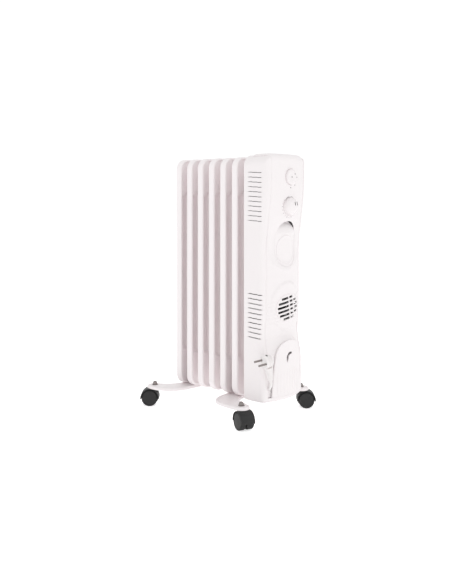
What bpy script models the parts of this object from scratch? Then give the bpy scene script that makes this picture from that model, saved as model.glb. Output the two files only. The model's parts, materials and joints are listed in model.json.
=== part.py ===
"""Oil-filled radiator heater on four castors, with a front housing, a fan outlet and a cord store.

Metres, +Z up, the control panel facing -Y and the fins stacked towards +Y. Lengthwise places are
counted from the middle between the two feet; the last step moves everything so that the origin
lies on the floor under the middle of the whole object.
"""

import math

import bmesh
import bpy
from mathutils import Matrix, Vector

# Clearances
GAP = 0.0003  # between pieces that touch
RUNNING_GAP = 0.0006  # round a shaft that turns
SEAT_GAP = 0.0005  # between a cover and its rebate

# Oil fins
FIN_COUNT = 7
FIN_PITCH = 0.0375
FIN_WIDTH = 0.145
FIN_BOTTOM = 0.0515
FIN_TOP = 0.622
FIN_CORNER = 0.026
RIM_DEPTH = 0.0175
RIM_WALL = 0.0018
WEB_WALL = 0.0018
HEADER_HEIGHT = 0.092
HEADER_DEPTH = 0.012
SHEET = 0.0012
CHANNEL_WIDTH = 0.026
CHANNEL_DEPTH = 0.013
CHANNEL_OFFSET = 0.034
BOSS_ROOT_RADIUS = 0.030
BOSS_FACE_RADIUS = 0.0195
BORE_RADIUS = 0.0135
HEADER_INSET = 0.046  # header centre line from the fin's top or bottom edge

# Heating element in the lower header
ELEMENT_RADIUS = 0.004
ELEMENT_SPACING = 0.0125
FLANGE_RADIUS = 0.0185
FLANGE_DEPTH = 0.006
TERMINAL_LENGTH = 0.006

# Housing
HOUSING_WIDTH = 0.150
HOUSING_BOTTOM = 0.052
HOUSING_TOP = 0.6245
HOUSING_WALL = 0.002
HOUSING_LAP = 0.0037  # how far it reaches behind the last fin's mid-plane
HOUSING_ROUND = 0.014  # radius of its top front edge
SHOULDER_ROUND = 0.026  # radius of its two top corners, seen from the front
FASCIA_WIDTH = 0.126
FASCIA_WALL = 0.0025
CROWN_RUN = 0.040  # depth of the fascia's strip over the top
CORNER_RUN = 0.0140
PANEL_DEPTH = 0.0800  # face depth in front of the housing's back edge, at the controls
BELLY_DEPTH = 0.0702  # the same at the fan
SILL_DEPTH = 0.0667  # the same between the fan and the cord store
BASE_DEPTH = 0.0752  # the same beside the cord store
PANEL_BOW = 0.0090
BELLY_BOW = 0.0150
BASE_BOW = 0.0140
PANEL_FADE = (0.390, 0.570)  # heights between which the belly becomes the panel
SILL_FADE = (0.205, 0.270)
BASE_FADE = (0.140, 0.200)
LOUVRE_PITCH = 0.0112
LOUVRE_HEIGHT = 0.0030
LOUVRE_LENGTH = 0.040
LOUVRE_SETBACK = 0.012  # from the housing's back edge
UPPER_LOUVRE_Z = 0.471
UPPER_LOUVRES = 10
LOWER_LOUVRE_Z = 0.200
LOWER_LOUVRES = 10
SHIELD_WALL = 0.0015

# Controls
SELECTOR_Z = 0.573
SELECTOR_RADIUS = 0.0185
SELECTOR_RISE = 0.0055
THERMOSTAT_Z = 0.504
THERMOSTAT_RADIUS = 0.022
THERMOSTAT_RISE = 0.0115
SHAFT_RADIUS = 0.003
SWITCH_SIZE = (0.034, 0.022, 0.034)

# Grip recess and blank plate
GRIP_HALF_WIDTH = 0.033
GRIP_LOW_Z = 0.362
GRIP_HIGH_Z = 0.470
GRIP_FLOOR = 0.004  # depth of the tray
POCKET_LOW_Z = 0.4415
POCKET_DEPTH = 0.026
PLATE_HALF_WIDTH = 0.0275
PLATE_LOW_Z = 0.368
PLATE_HIGH_Z = 0.434
PLATE_WALL = 0.0014

# Fan outlet
FAN_Z = 0.2665
GRILLE_RADIUS = 0.0315
GRILLE_SLANT = math.radians(8.5)
GRILLE_ROWS = 6
GRILLE_ROW_PITCH = 0.0095
GRILLE_SLOT = 0.0056
GRILLE_BARS = (-0.0095, 0.0095)
GRILLE_BAR_WIDTH = 0.0032
HEATER_SIZE = 0.056
HEATER_DEPTH = 0.010
IMPELLER_RADIUS = 0.029
IMPELLER_DEPTH = 0.009
IMPELLER_BLADES = 5
MOTOR_RADIUS = 0.017
MOTOR_DEPTH = 0.013

# Cord store
WELL_LOW_Z = 0.056
WELL_HIGH_Z = 0.202
WELL_HALF_WIDTH = 0.0595
WELL_BACK = 0.0395  # its back wall's front face, from the housing's back edge
WELL_WALL = 0.002
HUB_RADIUS = 0.031
HUB_WALL = 0.003
HUB_Z = 0.125
COVER_WALL = 0.003
COVER_DEPTH = 0.0775  # its face in front of the housing's back edge
COVER_BOW = 0.0135
LEAD_SLOT_MARGIN = 0.009
LEAD_SLOT_TOP = 0.104
COVER_LOW_Z = 0.064

# Mains cord
CORD_RADIUS = 0.0035
COIL_RADIUS = 0.040
COIL_TURNS_DEEP = 3
COIL_LAYERS = 2
PLUG_CENTRE = Vector((-0.0800, -0.2020, 0.1535))
PLUG_TURN = math.radians(20)
PLUG_DIP = math.radians(7)
PLUG_ROLL = math.radians(17)
PLUG_RADIUS = 0.0160
PLUG_DEPTH = 0.021
PIN_RADIUS = 0.0024
PIN_LENGTH = 0.019
PIN_SPACING = 0.019
SLEEVE_START = Vector((-0.0770, -0.2025, 0.1355))
SLEEVE_END = Vector((-0.0690, -0.2015, 0.1085))
GLAND_RADIUS = 0.0062
GLAND_LENGTH = 0.018
LEAD_OUT = (
    (-0.0689, -0.2015, 0.1081),
    (-0.0661, -0.2010, 0.0985),
    (-0.0632, -0.1955, 0.0892),
    (-0.0570, -0.1880, 0.0815),
    (-0.0450, -0.1845, 0.0764),
    (-0.0270, -0.1842, 0.0738),
    (-0.0060, -0.1835, 0.0728),
)

# Feet and castors
FOOT_WALL = 0.0022
FOOT_TOP = 0.0510
TRACK = 0.230
PIN_SWEEP = {"rear": 0.060, "front": 0.078}  # from the gap that holds the foot out to its castor pins
U_BOLT_RADIUS = 0.0025
WING_NUT_RADIUS = 0.0060
WING_NUT_HEIGHT = 0.007
WING_SPAN = 0.024
WHEEL_RADIUS = 0.020
WHEEL_WIDTH = 0.0145
WHEEL_SIDES = 24
WEB_HALF = 0.0026
CASTOR_TRAIL = 0.0127
FENDER_GAP = 0.0011
FENDER_WALL = 0.0022
HOOD_CUT_Z = 0.0175
HOOD_WEB_Z = 0.0085
NECK_RADIUS = 0.0085
STUD_RADIUS = 0.0038
CAP_NUT_RADIUS = 0.0062
CAP_NUT_HEIGHT = 0.0095
AXLE_RADIUS = 0.003
CASTORS = {  # side (-1 left, 1 right), end (-1 front, 1 rear), direction of the trail in plan
    "rear_left": (-1, 1, math.radians(131.8)),
    "rear_right": (1, 1, math.radians(48.2)),
    "front_left": (-1, -1, math.radians(-112.6)),
    "front_right": (1, -1, math.radians(-48.2)),
}

HALF_WIDTH = HOUSING_WIDTH / 2
FASCIA_BOTTOM = 0.102
FRONT_LEVELS = (0.14, 0.16, 0.18, 0.20, 0.235, 0.27, 0.39, 0.43, 0.47, 0.51, 0.57)
FASCIA_HALF = FASCIA_WIDTH / 2
SEAT_DEPTH = FASCIA_WALL + SEAT_GAP
TOP_HEADER_Z = FIN_TOP - HEADER_INSET
BOTTOM_HEADER_Z = FIN_BOTTOM + HEADER_INSET


def fin_y(number):
    """Mid-plane of a fin, 1 at the rear."""
    return (FIN_COUNT / 2 - number) * FIN_PITCH


HOUSING_BACK = fin_y(FIN_COUNT) + HOUSING_LAP
LAST_BOSS_FACE = fin_y(FIN_COUNT) - FIN_PITCH / 2
WELL_BACK_Y = HOUSING_BACK - WELL_BACK


# --- Front surface -----------------------------------------------------------------------------

def ease(value, span):
    """0 below the span, 1 above it, smooth between."""
    share = min(max((value - span[0]) / (span[1] - span[0]), 0.0), 1.0)
    return share * share * (3 - 2 * share)


def front_y(x, z):
    """The outside of the bowed front at a width and a height."""
    panel = ease(z, PANEL_FADE)
    base = 1 - ease(z, BASE_FADE)
    depth = SILL_DEPTH + (BASE_DEPTH - SILL_DEPTH) * base
    depth += (BELLY_DEPTH - SILL_DEPTH) * ease(z, SILL_FADE) + (PANEL_DEPTH - BELLY_DEPTH) * panel
    bow = BELLY_BOW + (PANEL_BOW - BELLY_BOW) * panel + (BASE_BOW - BELLY_BOW) * base
    return HOUSING_BACK - depth + bow * (x / FASCIA_HALF) ** 2


def top_ring(round_radius, top):
    """(height, setback) pairs up the rounded top edge."""
    turns = [math.radians(90 * step / 3) for step in range(4)]
    centre = top - round_radius
    return [(centre + round_radius * math.sin(t), round_radius * (1 - math.cos(t))) for t in turns]


def shell_rings(wall, back_y):
    """The shell's outside, or with a wall its inside, level by level, with a rebate for the fascia."""
    levels = [(HOUSING_BOTTOM + wall, 0.0)] + [(z, 0.0) for z in FRONT_LEVELS]
    levels += top_ring(HOUSING_ROUND - wall, HOUSING_TOP - wall)
    reach = HALF_WIDTH - FASCIA_HALF
    rings = []
    for z, setback in levels:
        edge_y = front_y(FASCIA_HALF, z) + wall + setback
        half = [(HALF_WIDTH - wall, back_y)]
        for step in range(4):
            turn = math.radians(90 * step / 3)
            corner_y = edge_y + CORNER_RUN * (1 - math.sin(turn))
            half.append((FASCIA_HALF + reach * math.cos(turn) - wall, corner_y))
        for share in (0.995, 0.66, 0.33):
            x = FASCIA_HALF * share - wall
            half.append((x, front_y(x, z) + SEAT_DEPTH + wall + setback))
        middle = [(0.0, front_y(0, z) + SEAT_DEPTH + wall + setback)]
        ring = half + middle + [(-x, y) for x, y in reversed(half)]
        rings.append([Vector((x, y, z)) for x, y in ring])
    return rings


def fascia_rings(inset, back_y):
    """The outside of the fascia, or with an inset its inside, level by level."""
    levels = [(FASCIA_BOTTOM - inset, 0.0)] + [(z, 0.0) for z in FRONT_LEVELS]
    levels += top_ring(HOUSING_ROUND + SEAT_DEPTH - inset, HOUSING_TOP + SEAT_DEPTH - inset)
    edge = FASCIA_HALF + inset
    rings = []
    for z, setback in levels:
        ring = [(edge, back_y)]
        for share in (1, 0.66, 0.33, 0, -0.33, -0.66, -1):
            x = edge * share
            ring.append((x, front_y(x, z) + inset + setback))
        ring.append((-edge, back_y))
        rings.append([Vector((x, y, z)) for x, y in ring])
    return rings


def shoulder_mesh(name, inset):
    """A long prism with the housing's two top corners rounded, set in by inset."""
    half, top = HALF_WIDTH - inset, HOUSING_TOP - inset
    outline = rounded_outline((-half, HOUSING_BOTTOM - 0.1), (half, top), SHOULDER_ROUND - inset, 5)
    return prism_mesh(name, outline, HOUSING_BACK - 0.2, HOUSING_BACK + 0.1, "Y")


# --- Building blocks ---------------------------------------------------------------------------

def clear_scene():
    """Removes the startup objects."""
    for obj in list(bpy.data.objects):
        bpy.data.objects.remove(obj, do_unlink=True)


def material(name, colour, roughness, metallic=0.0):
    """A Principled material."""
    made = bpy.data.materials.new(name)
    made.use_nodes = True
    shader = made.node_tree.nodes["Principled BSDF"]
    shader.inputs["Base Color"].default_value = (*colour, 1.0)
    shader.inputs["Roughness"].default_value = roughness
    shader.inputs["Metallic"].default_value = metallic
    return made


def place(name, mesh, finish, location=(0, 0, 0), rotation=(0, 0, 0)):
    """Puts a mesh in the parts collection, hanging on the frame empty."""
    obj = bpy.data.objects.new(name, mesh)
    PARTS.objects.link(obj)
    if not mesh.materials:
        mesh.materials.append(finish)
    obj.location = location
    obj.rotation_euler = rotation
    obj.parent = FRAME
    return obj


def as_cutter(obj):
    """Moves an object to the cutters, which are neither shown nor built."""
    PARTS.objects.unlink(obj)
    CUTTERS.objects.link(obj)
    obj.hide_render = True
    obj.display_type = "WIRE"
    return obj


def mesh_from(name, work):
    """Closes a bmesh into a mesh with its faces pointing out."""
    bmesh.ops.recalc_face_normals(work, faces=work.faces)
    mesh = bpy.data.meshes.new(name)
    work.to_mesh(mesh)
    work.free()
    return mesh


def box_mesh(name, low, high):
    """A box between two corners."""
    work = bmesh.new()
    size = Vector(high) - Vector(low)
    centre = (Vector(high) + Vector(low)) / 2
    bmesh.ops.create_cube(work, matrix=Matrix.Translation(centre) @ Matrix.Diagonal((*size, 1)))
    return mesh_from(name, work)


def cone_mesh(name, start, end, radius, end_radius=None, sides=24):
    """A cylinder or cone from one point to another."""
    start, end = Vector(start), Vector(end)
    along = end - start
    turn = along.to_track_quat("Z", "Y").to_matrix().to_4x4()
    work = bmesh.new()
    bmesh.ops.create_cone(
        work,
        cap_ends=True,
        segments=sides,
        radius1=radius,
        radius2=radius if end_radius is None else end_radius,
        depth=along.length,
        matrix=Matrix.Translation((start + end) / 2) @ turn,
    )
    return round_off(mesh_from(name, work))


def loft_mesh(name, rings):
    """Skins closed rings of equal length and caps the two ends."""
    work = bmesh.new()
    rows = [[work.verts.new(point) for point in ring] for ring in rings]
    for low, high in zip(rows, rows[1:]):
        for i in range(len(low)):
            j = (i + 1) % len(low)
            work.faces.new((low[i], low[j], high[j], high[i]))
    work.faces.new(rows[0])
    work.faces.new(rows[-1])
    return mesh_from(name, work)


def prism_mesh(name, outline, start, end, axis):
    """An outline extruded along axis; its points are the other two coordinates in order."""
    def corner(point, level):
        values = list(point)
        values.insert("XYZ".index(axis), level)
        return Vector(values)

    return loft_mesh(name, [[corner(p, level) for p in outline] for level in (start, end)])


def rounded_outline(low, high, radius, steps=4):
    """A rectangle with round corners, anticlockwise."""
    points = []
    centres = ((high[0], high[1]), (low[0], high[1]), (low[0], low[1]), (high[0], low[1]))
    signs = ((-1, -1), (1, -1), (1, 1), (-1, 1))
    for quarter, (centre, sign) in enumerate(zip(centres, signs)):
        for step in range(steps + 1):
            turn = math.radians(90 * (quarter + step / steps))
            points.append((
                centre[0] + sign[0] * radius + radius * math.cos(turn),
                centre[1] + sign[1] * radius + radius * math.sin(turn),
            ))
    return points


def round_off(mesh, angle=40):
    """Smooth shading with the real edges kept."""
    mesh.shade_smooth()
    mesh.set_sharp_from_angle(angle=math.radians(angle))
    return mesh


def boolean(obj, other, operation):
    """Cuts with, joins with or keeps what is shared with a helper."""
    modifier = obj.modifiers.new(operation.title() + "_" + other.name, "BOOLEAN")
    modifier.operation = operation
    modifier.solver = "EXACT"
    modifier.object = other


def helper(name, mesh):
    """A mesh used only by Booleans."""
    return as_cutter(place(name, mesh, SCREEN_BLACK))


def cut(obj, name, mesh):
    """Takes a mesh's volume away."""
    boolean(obj, helper(name, mesh), "DIFFERENCE")


def join(obj, name, mesh):
    """Adds a mesh's volume."""
    boolean(obj, helper(name, mesh), "UNION")


def finished_mesh(obj, name):
    """The mesh that an object's modifiers make, as plain mesh data."""
    bpy.context.view_layer.update()
    graph = bpy.context.evaluated_depsgraph_get()
    mesh = bpy.data.meshes.new_from_object(obj.evaluated_get(graph))
    mesh.name = name
    return round_off(mesh)


def turned(name, profile, finish, centre, axis_turn, sides=24):
    """A profile of (radius, height) turned about its own axis."""
    mesh = bpy.data.meshes.new(name)
    mesh.from_pydata([(r, 0, h) for r, h in profile], [(i, i + 1) for i in range(len(profile) - 1)], [])
    obj = place(name, mesh, finish, centre, axis_turn)
    screw = obj.modifiers.new("Turn", "SCREW")
    screw.steps = screw.render_steps = sides
    screw.use_merge_vertices = True
    screw.merge_threshold = 0.00005
    screw.use_smooth_shade = True
    return obj


def smooth_route(points, spacing):
    """Points along a Catmull-Rom curve through the given ones."""
    points = [Vector(p) for p in points]
    ends = [points[0] * 2 - points[1]] + points + [points[-1] * 2 - points[-2]]
    route = []
    for a, b, c, d in zip(ends, ends[1:], ends[2:], ends[3:]):
        steps = max(2, round((c - b).length / spacing))
        for step in range(steps):
            t = step / steps
            route.append(0.5 * (
                2 * b + (c - a) * t + (2 * a - 5 * b + 4 * c - d) * t * t + (3 * b - a - 3 * c + d) * t ** 3
            ))
    return route + [points[-1]]


def tube(name, points, radius, finish, rounds=2):
    """A round bar along points, as a curve with filled caps."""
    curve = bpy.data.curves.new(name, "CURVE")
    curve.dimensions = "3D"
    curve.bevel_depth = radius
    curve.bevel_resolution = rounds
    curve.use_fill_caps = True
    spline = curve.splines.new("POLY")
    spline.points.add(len(points) - 1)
    for target, point in zip(spline.points, points):
        target.co = (*point, 1)
    obj = bpy.data.objects.new(name, curve)
    curve.materials.append(finish)
    PARTS.objects.link(obj)
    obj.parent = FRAME
    return obj


# --- Oil vessel --------------------------------------------------------------------------------

def fin_outline(inset):
    """The fin's rounded outline in X and Z, set in by inset."""
    return rounded_outline(
        (-FIN_WIDTH / 2 + inset, FIN_BOTTOM + inset),
        (FIN_WIDTH / 2 - inset, FIN_TOP - inset),
        FIN_CORNER - inset,
        3,
    )


def fin_mesh():
    """One pressed fin: rim, web, two channels and two hollow headers that join its neighbours."""
    blank = prism_mesh("fin_blank", fin_outline(0), -RIM_DEPTH / 2, RIM_DEPTH / 2, "Y")
    fin = place("fin_blank", blank, WHITE_PAINT)
    low_z, high_z = FIN_BOTTOM + HEADER_HEIGHT, FIN_TOP - HEADER_HEIGHT
    half = FIN_WIDTH / 2 - RIM_WALL
    for side in (-1, 1):
        pocket = rounded_outline((-half, low_z), (half, high_z), 0.012, 2)
        cut(fin, "pocket", prism_mesh("pocket", pocket, side * WEB_WALL / 2, side * RIM_DEPTH, "Y"))
        shallow = prism_mesh("shallow", fin_outline(RIM_WALL), side * HEADER_DEPTH / 2, side * RIM_DEPTH, "Y")
        cut(fin, "shallow", shallow)
        for z in (BOTTOM_HEADER_Z, TOP_HEADER_Z):
            face = side * (FIN_PITCH - GAP) / 2
            boss = cone_mesh("boss", (0, 0, z), (0, face, z), BOSS_ROOT_RADIUS, BOSS_FACE_RADIUS, 16)
            join(fin, "boss", boss)
        x = side * CHANNEL_OFFSET
        wide, deep = CHANNEL_WIDTH / 2, CHANNEL_DEPTH / 2
        shape = rounded_outline((x - wide, -deep), (x + wide, deep), deep * 0.8, 1)
        join(fin, "channel", prism_mesh("channel", shape, low_z - 0.01, high_z + 0.01, "Z"))
    for side in (-1, 1):
        x = side * CHANNEL_OFFSET
        wide, deep = CHANNEL_WIDTH / 2 - SHEET, CHANNEL_DEPTH / 2 - SHEET
        shape = rounded_outline((x - wide, -deep), (x + wide, deep), deep * 0.8, 1)
        cut(fin, "oil_way", prism_mesh("oil_way", shape, BOTTOM_HEADER_Z, TOP_HEADER_Z, "Z"))
    for z in (BOTTOM_HEADER_Z, TOP_HEADER_Z):
        tall = HEADER_HEIGHT / 2 - 0.008
        wide = FIN_WIDTH / 2 - 0.012
        chamber = rounded_outline((-wide, z - tall), (wide, z + tall), 0.016, 2)
        deep = HEADER_DEPTH / 2 - SHEET
        cut(fin, "chamber", prism_mesh("chamber", chamber, -deep, deep, "Y"))
        cut(fin, "bore", cone_mesh("bore", (0, -FIN_PITCH, z), (0, FIN_PITCH, z), BORE_RADIUS, sides=16))
    mesh = finished_mesh(fin, "oil_fin")
    bpy.data.objects.remove(fin, do_unlink=True)
    return mesh


def build_vessel():
    """Seven fins, the caps of the open headers and the heating element."""
    shared = fin_mesh()
    for number in range(1, FIN_COUNT + 1):
        place(f"oil_fin_{number}", shared, WHITE_PAINT, (0, fin_y(number), 0))
    rear_face = fin_y(1) + FIN_PITCH / 2
    for name, z, face, way in (
        ("filler_plug", TOP_HEADER_Z, rear_face, 1),
        ("drain_plug", BOTTOM_HEADER_Z, rear_face, 1),
        ("header_cap", TOP_HEADER_Z, LAST_BOSS_FACE, -1),
    ):
        disc = cone_mesh(name, (0, face + way * GAP, z), (0, face + way * 0.003, z), BOSS_FACE_RADIUS - 0.001)
        cap = place(name, disc, ZINC)
        inner, outer = face - way * 0.008, face + way * 0.002
        spigot = cone_mesh("spigot", (0, inner, z), (0, outer, z), BORE_RADIUS - GAP)
        join(cap, "spigot", spigot)
        head = cone_mesh("hex", (0, face + way * 0.002, z), (0, face + way * 0.0065, z), 0.008, sides=6)
        join(cap, "hex", head)
    build_element()


def build_element():
    """The U-shaped immersion heater and the flange that seals it into the lower header."""
    x = ELEMENT_SPACING / 2
    z = BOTTOM_HEADER_Z
    front = LAST_BOSS_FACE - GAP - FLANGE_DEPTH - TERMINAL_LENGTH
    bend_y = fin_y(1) - 0.004
    bend = [(x * math.cos(t), bend_y + x * math.sin(t), z) for t in (math.pi * i / 6 for i in range(7))]
    points = [(x, front, z)] + bend + [(-x, front, z)]
    tube("heating_element", points, ELEMENT_RADIUS, STEEL)
    near = LAST_BOSS_FACE - GAP
    flange = place("element_flange", cone_mesh("element_flange", (0, near, z), (0, near - FLANGE_DEPTH, z),
                                               FLANGE_RADIUS, sides=6), BRASS)
    spigot = cone_mesh("flange_spigot", (0, near - 0.001, z), (0, near + 0.009, z), BORE_RADIUS - GAP)
    join(flange, "flange_spigot", spigot)
    for side in (-1, 1):
        start = (side * x, near - 2 * FLANGE_DEPTH, z)
        end = (side * x, near + 0.02, z)
        cut(flange, "element_hole", cone_mesh("element_hole", start, end, ELEMENT_RADIUS + GAP, sides=16))


# --- Housing -----------------------------------------------------------------------------------

def build_housing():
    """The side, top and bottom shell with its louvres, and the heat shield behind it."""
    shell = place("housing_shell", loft_mesh("housing_shell", shell_rings(0, HOUSING_BACK)), WHITE_PLASTIC)
    boolean(shell, helper("shoulders", shoulder_mesh("shoulders", 0)), "INTERSECT")
    inside = helper("shell_inside", loft_mesh("shell_inside", shell_rings(HOUSING_WALL, HOUSING_BACK + 0.02)))
    boolean(inside, helper("shoulders_inside", shoulder_mesh("shoulders_inside", HOUSING_WALL)), "INTERSECT")
    boolean(shell, inside, "DIFFERENCE")
    window = prism_mesh(
        "front_window",
        [(-FASCIA_HALF + 0.005, WELL_LOW_Z), (FASCIA_HALF - 0.005, WELL_LOW_Z),
         (FASCIA_HALF - 0.005, HOUSING_TOP - 0.024), (-FASCIA_HALF + 0.005, HOUSING_TOP - 0.024)],
        HOUSING_BACK - PANEL_DEPTH - 0.01, HOUSING_BACK - 0.045, "Y",
    )
    cut(shell, "front_window", window)
    half, back = HALF_WIDTH - LEAD_SLOT_MARGIN, HOUSING_BACK - 0.05
    lead_slot = box_mesh("lead_slot", (-half, back - 0.1, WELL_LOW_Z + 0.004), (half, back, LEAD_SLOT_TOP))
    cut(shell, "lead_slot", lead_slot)
    cut(shell, "louvres", louvre_mesh())
    side, front = HALF_WIDTH - HOUSING_WALL + 0.0005, fin_y(FIN_COUNT) - RIM_DEPTH / 2 - 0.001
    high = HOUSING_BOTTOM + 0.004
    under_fin = box_mesh("under_fin", (-side, front, 0.03), (side, HOUSING_BACK + 0.03, high))
    cut(shell, "under_fin", under_fin)
    build_shield()


def louvre_mesh():
    """All the louvres of both sides as one cutter."""
    front = HOUSING_BACK - LOUVRE_SETBACK
    work = bmesh.new()
    for start_z, count in ((UPPER_LOUVRE_Z, UPPER_LOUVRES), (LOWER_LOUVRE_Z, LOWER_LOUVRES)):
        for index in range(count):
            for side in (-1, 1):
                z = start_z + index * LOUVRE_PITCH
                centre = Vector((side * (HALF_WIDTH + 0.002), front - LOUVRE_LENGTH / 2, z))
                size = Matrix.Diagonal((0.014, LOUVRE_LENGTH, LOUVRE_HEIGHT, 1))
                bmesh.ops.create_cube(work, matrix=Matrix.Translation(centre) @ size)
    return mesh_from("louvres", work)


def build_shield():
    """The sheet between the last fin and the electrical parts."""
    front = fin_y(FIN_COUNT) - RIM_DEPTH / 2 - GAP * 2
    inset = HOUSING_WALL + SEAT_GAP
    outline = rounded_outline(
        (-HALF_WIDTH + inset, HOUSING_BOTTOM + inset), (HALF_WIDTH - inset, HOUSING_TOP - inset), SHOULDER_ROUND
    )
    shield = place("heat_shield", prism_mesh("heat_shield", outline, front, front - SHIELD_WALL, "Y"), ZINC)
    for z in (BOTTOM_HEADER_Z, TOP_HEADER_Z):
        hole = cone_mesh("shield_hole", (0, front + 0.01, z), (0, front - 0.01, z), BOSS_ROOT_RADIUS)
        cut(shield, "shield_hole", hole)


def store_outline(margin, low_z):
    """The arched outline of the cord store, in X and Z, grown by margin."""
    half = [(0.0, 0.1910), (0.0140, 0.1895), (0.0270, 0.1840), (0.0365, 0.1755), (0.0425, 0.1640),
            (0.0455, 0.1500), (0.0490, 0.1250), (0.0520, 0.1000)]
    grown = []
    for x, z in half:
        away = Vector((x, z - 0.145)).normalized() * margin if z > 0.145 else Vector((margin, 0))
        grown.append((x + away.x if x else 0.0, z + away.y if x else z + margin))
    side = grown[1:] + [(0.0545 + margin, low_z)]
    return [(-x, z) for x, z in reversed(side)] + [grown[0]] + side


def grip_outline(margin):
    """The long round-ended outline of the grip recess, in X and Z."""
    half = GRIP_HALF_WIDTH + margin
    return rounded_outline((-half, GRIP_LOW_Z - margin), (half, GRIP_HIGH_Z + margin), half * 0.98, 7)


def build_fascia():
    """The bowed front panel, which turns back over the top as a raised strip."""
    fascia = place("front_fascia", loft_mesh("front_fascia", fascia_rings(0, HOUSING_BACK)), WHITE_PLASTIC)
    inner = fascia_rings(FASCIA_WALL, HOUSING_BACK + 0.05)
    inside = helper("fascia_inside", loft_mesh("fascia_inside", inner))
    boolean(fascia, inside, "DIFFERENCE")
    edge = FASCIA_HALF * 0.995 - SEAT_GAP
    front = HOUSING_BACK - PANEL_DEPTH
    crown_y = front + PANEL_BOW + HOUSING_ROUND + CROWN_RUN
    low = FASCIA_BOTTOM + 0.004
    slab = box_mesh("fascia_limit", (-edge, front - 0.05, low), (edge, crown_y, HOUSING_TOP + 0.05))
    boolean(fascia, helper("fascia_limit", slab), "INTERSECT")
    shoulders = helper("fascia_shoulders", shoulder_mesh("fascia_shoulders", -SEAT_DEPTH))
    boolean(fascia, shoulders, "INTERSECT")
    far, near = HOUSING_BACK - PANEL_DEPTH - 0.02, HOUSING_BACK - 0.05
    cut(fascia, "store_mouth", prism_mesh("store_mouth", store_outline(0.0085, 0.04), far, near, "Y"))
    cut(fascia, "grip_mouth", prism_mesh("grip_mouth", grip_outline(GAP), far, near, "Y"))
    hole_radius = GRILLE_RADIUS + SEAT_GAP
    grille_hole = cone_mesh("grille_hole", (0, far, FAN_Z), (0, near, FAN_Z), hole_radius, sides=32)
    cut(fascia, "grille_hole", grille_hole)
    for z, radius in ((SELECTOR_Z, SELECTOR_RADIUS), (THERMOSTAT_Z, THERMOSTAT_RADIUS)):
        seat = cone_mesh("knob_seat", (0, far, z), (0, front_y(0, z), z), radius + RUNNING_GAP)
        cut(fascia, "knob_seat", seat)
        hole = cone_mesh("shaft_hole", (0, far, z), (0, near, z), SHAFT_RADIUS + RUNNING_GAP, sides=16)
        cut(fascia, "shaft_hole", hole)


# --- Controls, grip and fan --------------------------------------------------------------------

def build_knob(name, z, radius, rise, skirt):
    """A domed knob with its shaft, turning about Y, and the switch body behind it."""
    face = front_y(0, z) - RUNNING_GAP
    knob = turned(
        name,
        [(0, rise), (radius * 0.35, rise * 0.97), (radius * 0.66, rise * 0.86), (radius * 0.88, rise * 0.60),
         (radius, skirt), (radius, 0), (0, 0)],
        GLOSS_WHITE, (0, face, z), (math.radians(90), 0, 0),
    )
    shaft_length = FASCIA_WALL + 0.0105
    shaft = cone_mesh("knob_shaft", (0, 0, 0.002), (0, 0, -shaft_length), SHAFT_RADIUS, sides=16)
    join(knob, "knob_shaft", shaft)
    knob.modifiers[-1].object.parent = knob
    wide, deep, tall = SWITCH_SIZE
    body_front = face + shaft_length + RUNNING_GAP
    body_name = name.replace("_knob", "_body")
    low, high = z - tall / 2, z + tall / 2
    body = box_mesh(body_name, (-wide / 2, body_front, low), (wide / 2, body_front + deep, high))
    place(body_name, body, BLACK_PLASTIC)


def lean(mesh):
    """Shears a piece of the grip so that it leans with the panel."""
    low, high = front_y(GRIP_HALF_WIDTH, GRIP_LOW_Z), front_y(GRIP_HALF_WIDTH, GRIP_HIGH_Z)
    slope = (high - low) / (GRIP_HIGH_Z - GRIP_LOW_Z)
    shear = Matrix.Identity(4)
    shear[1][2] = slope
    shear[1][3] = -slope * GRIP_LOW_Z
    mesh.transform(shear)
    return mesh


def build_grip():
    """The grip insert with its finger pocket, and the blank plate on its floor."""
    front = front_y(GRIP_HALF_WIDTH, GRIP_LOW_Z) + 0.001
    back = front + POCKET_DEPTH
    floor = front + GRIP_FLOOR
    tray = lean(prism_mesh("grip_insert", grip_outline(-GAP), front, back, "Y"))
    grip = place("grip_insert", tray, WHITE_PLASTIC)
    tray = prism_mesh("grip_tray", grip_outline(-0.0022), front - 0.02, floor, "Y")
    cut(grip, "grip_tray", lean(tray))
    finger = rounded_outline((-0.026, POCKET_LOW_Z), (0.026, GRIP_HIGH_Z - 0.006), 0.009)
    cut(grip, "finger_pocket", lean(prism_mesh("finger_pocket", finger, front - 0.02, back - 0.002, "Y")))
    low, high = (-0.05, floor + 0.002, GRIP_LOW_Z - 0.02), (0.05, back + 0.01, POCKET_LOW_Z - 0.002)
    cut(grip, "grip_hollow", lean(box_mesh("grip_hollow", low, high)))
    half = PLATE_HALF_WIDTH
    outline = rounded_outline((-half, PLATE_LOW_Z), (half, PLATE_HIGH_Z), half * 0.96, 6)
    plate = prism_mesh("badge_plate", outline, floor - GAP - PLATE_WALL, floor - GAP, "Y")
    place("badge_plate", lean(plate), GLOSS_WHITE)


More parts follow.
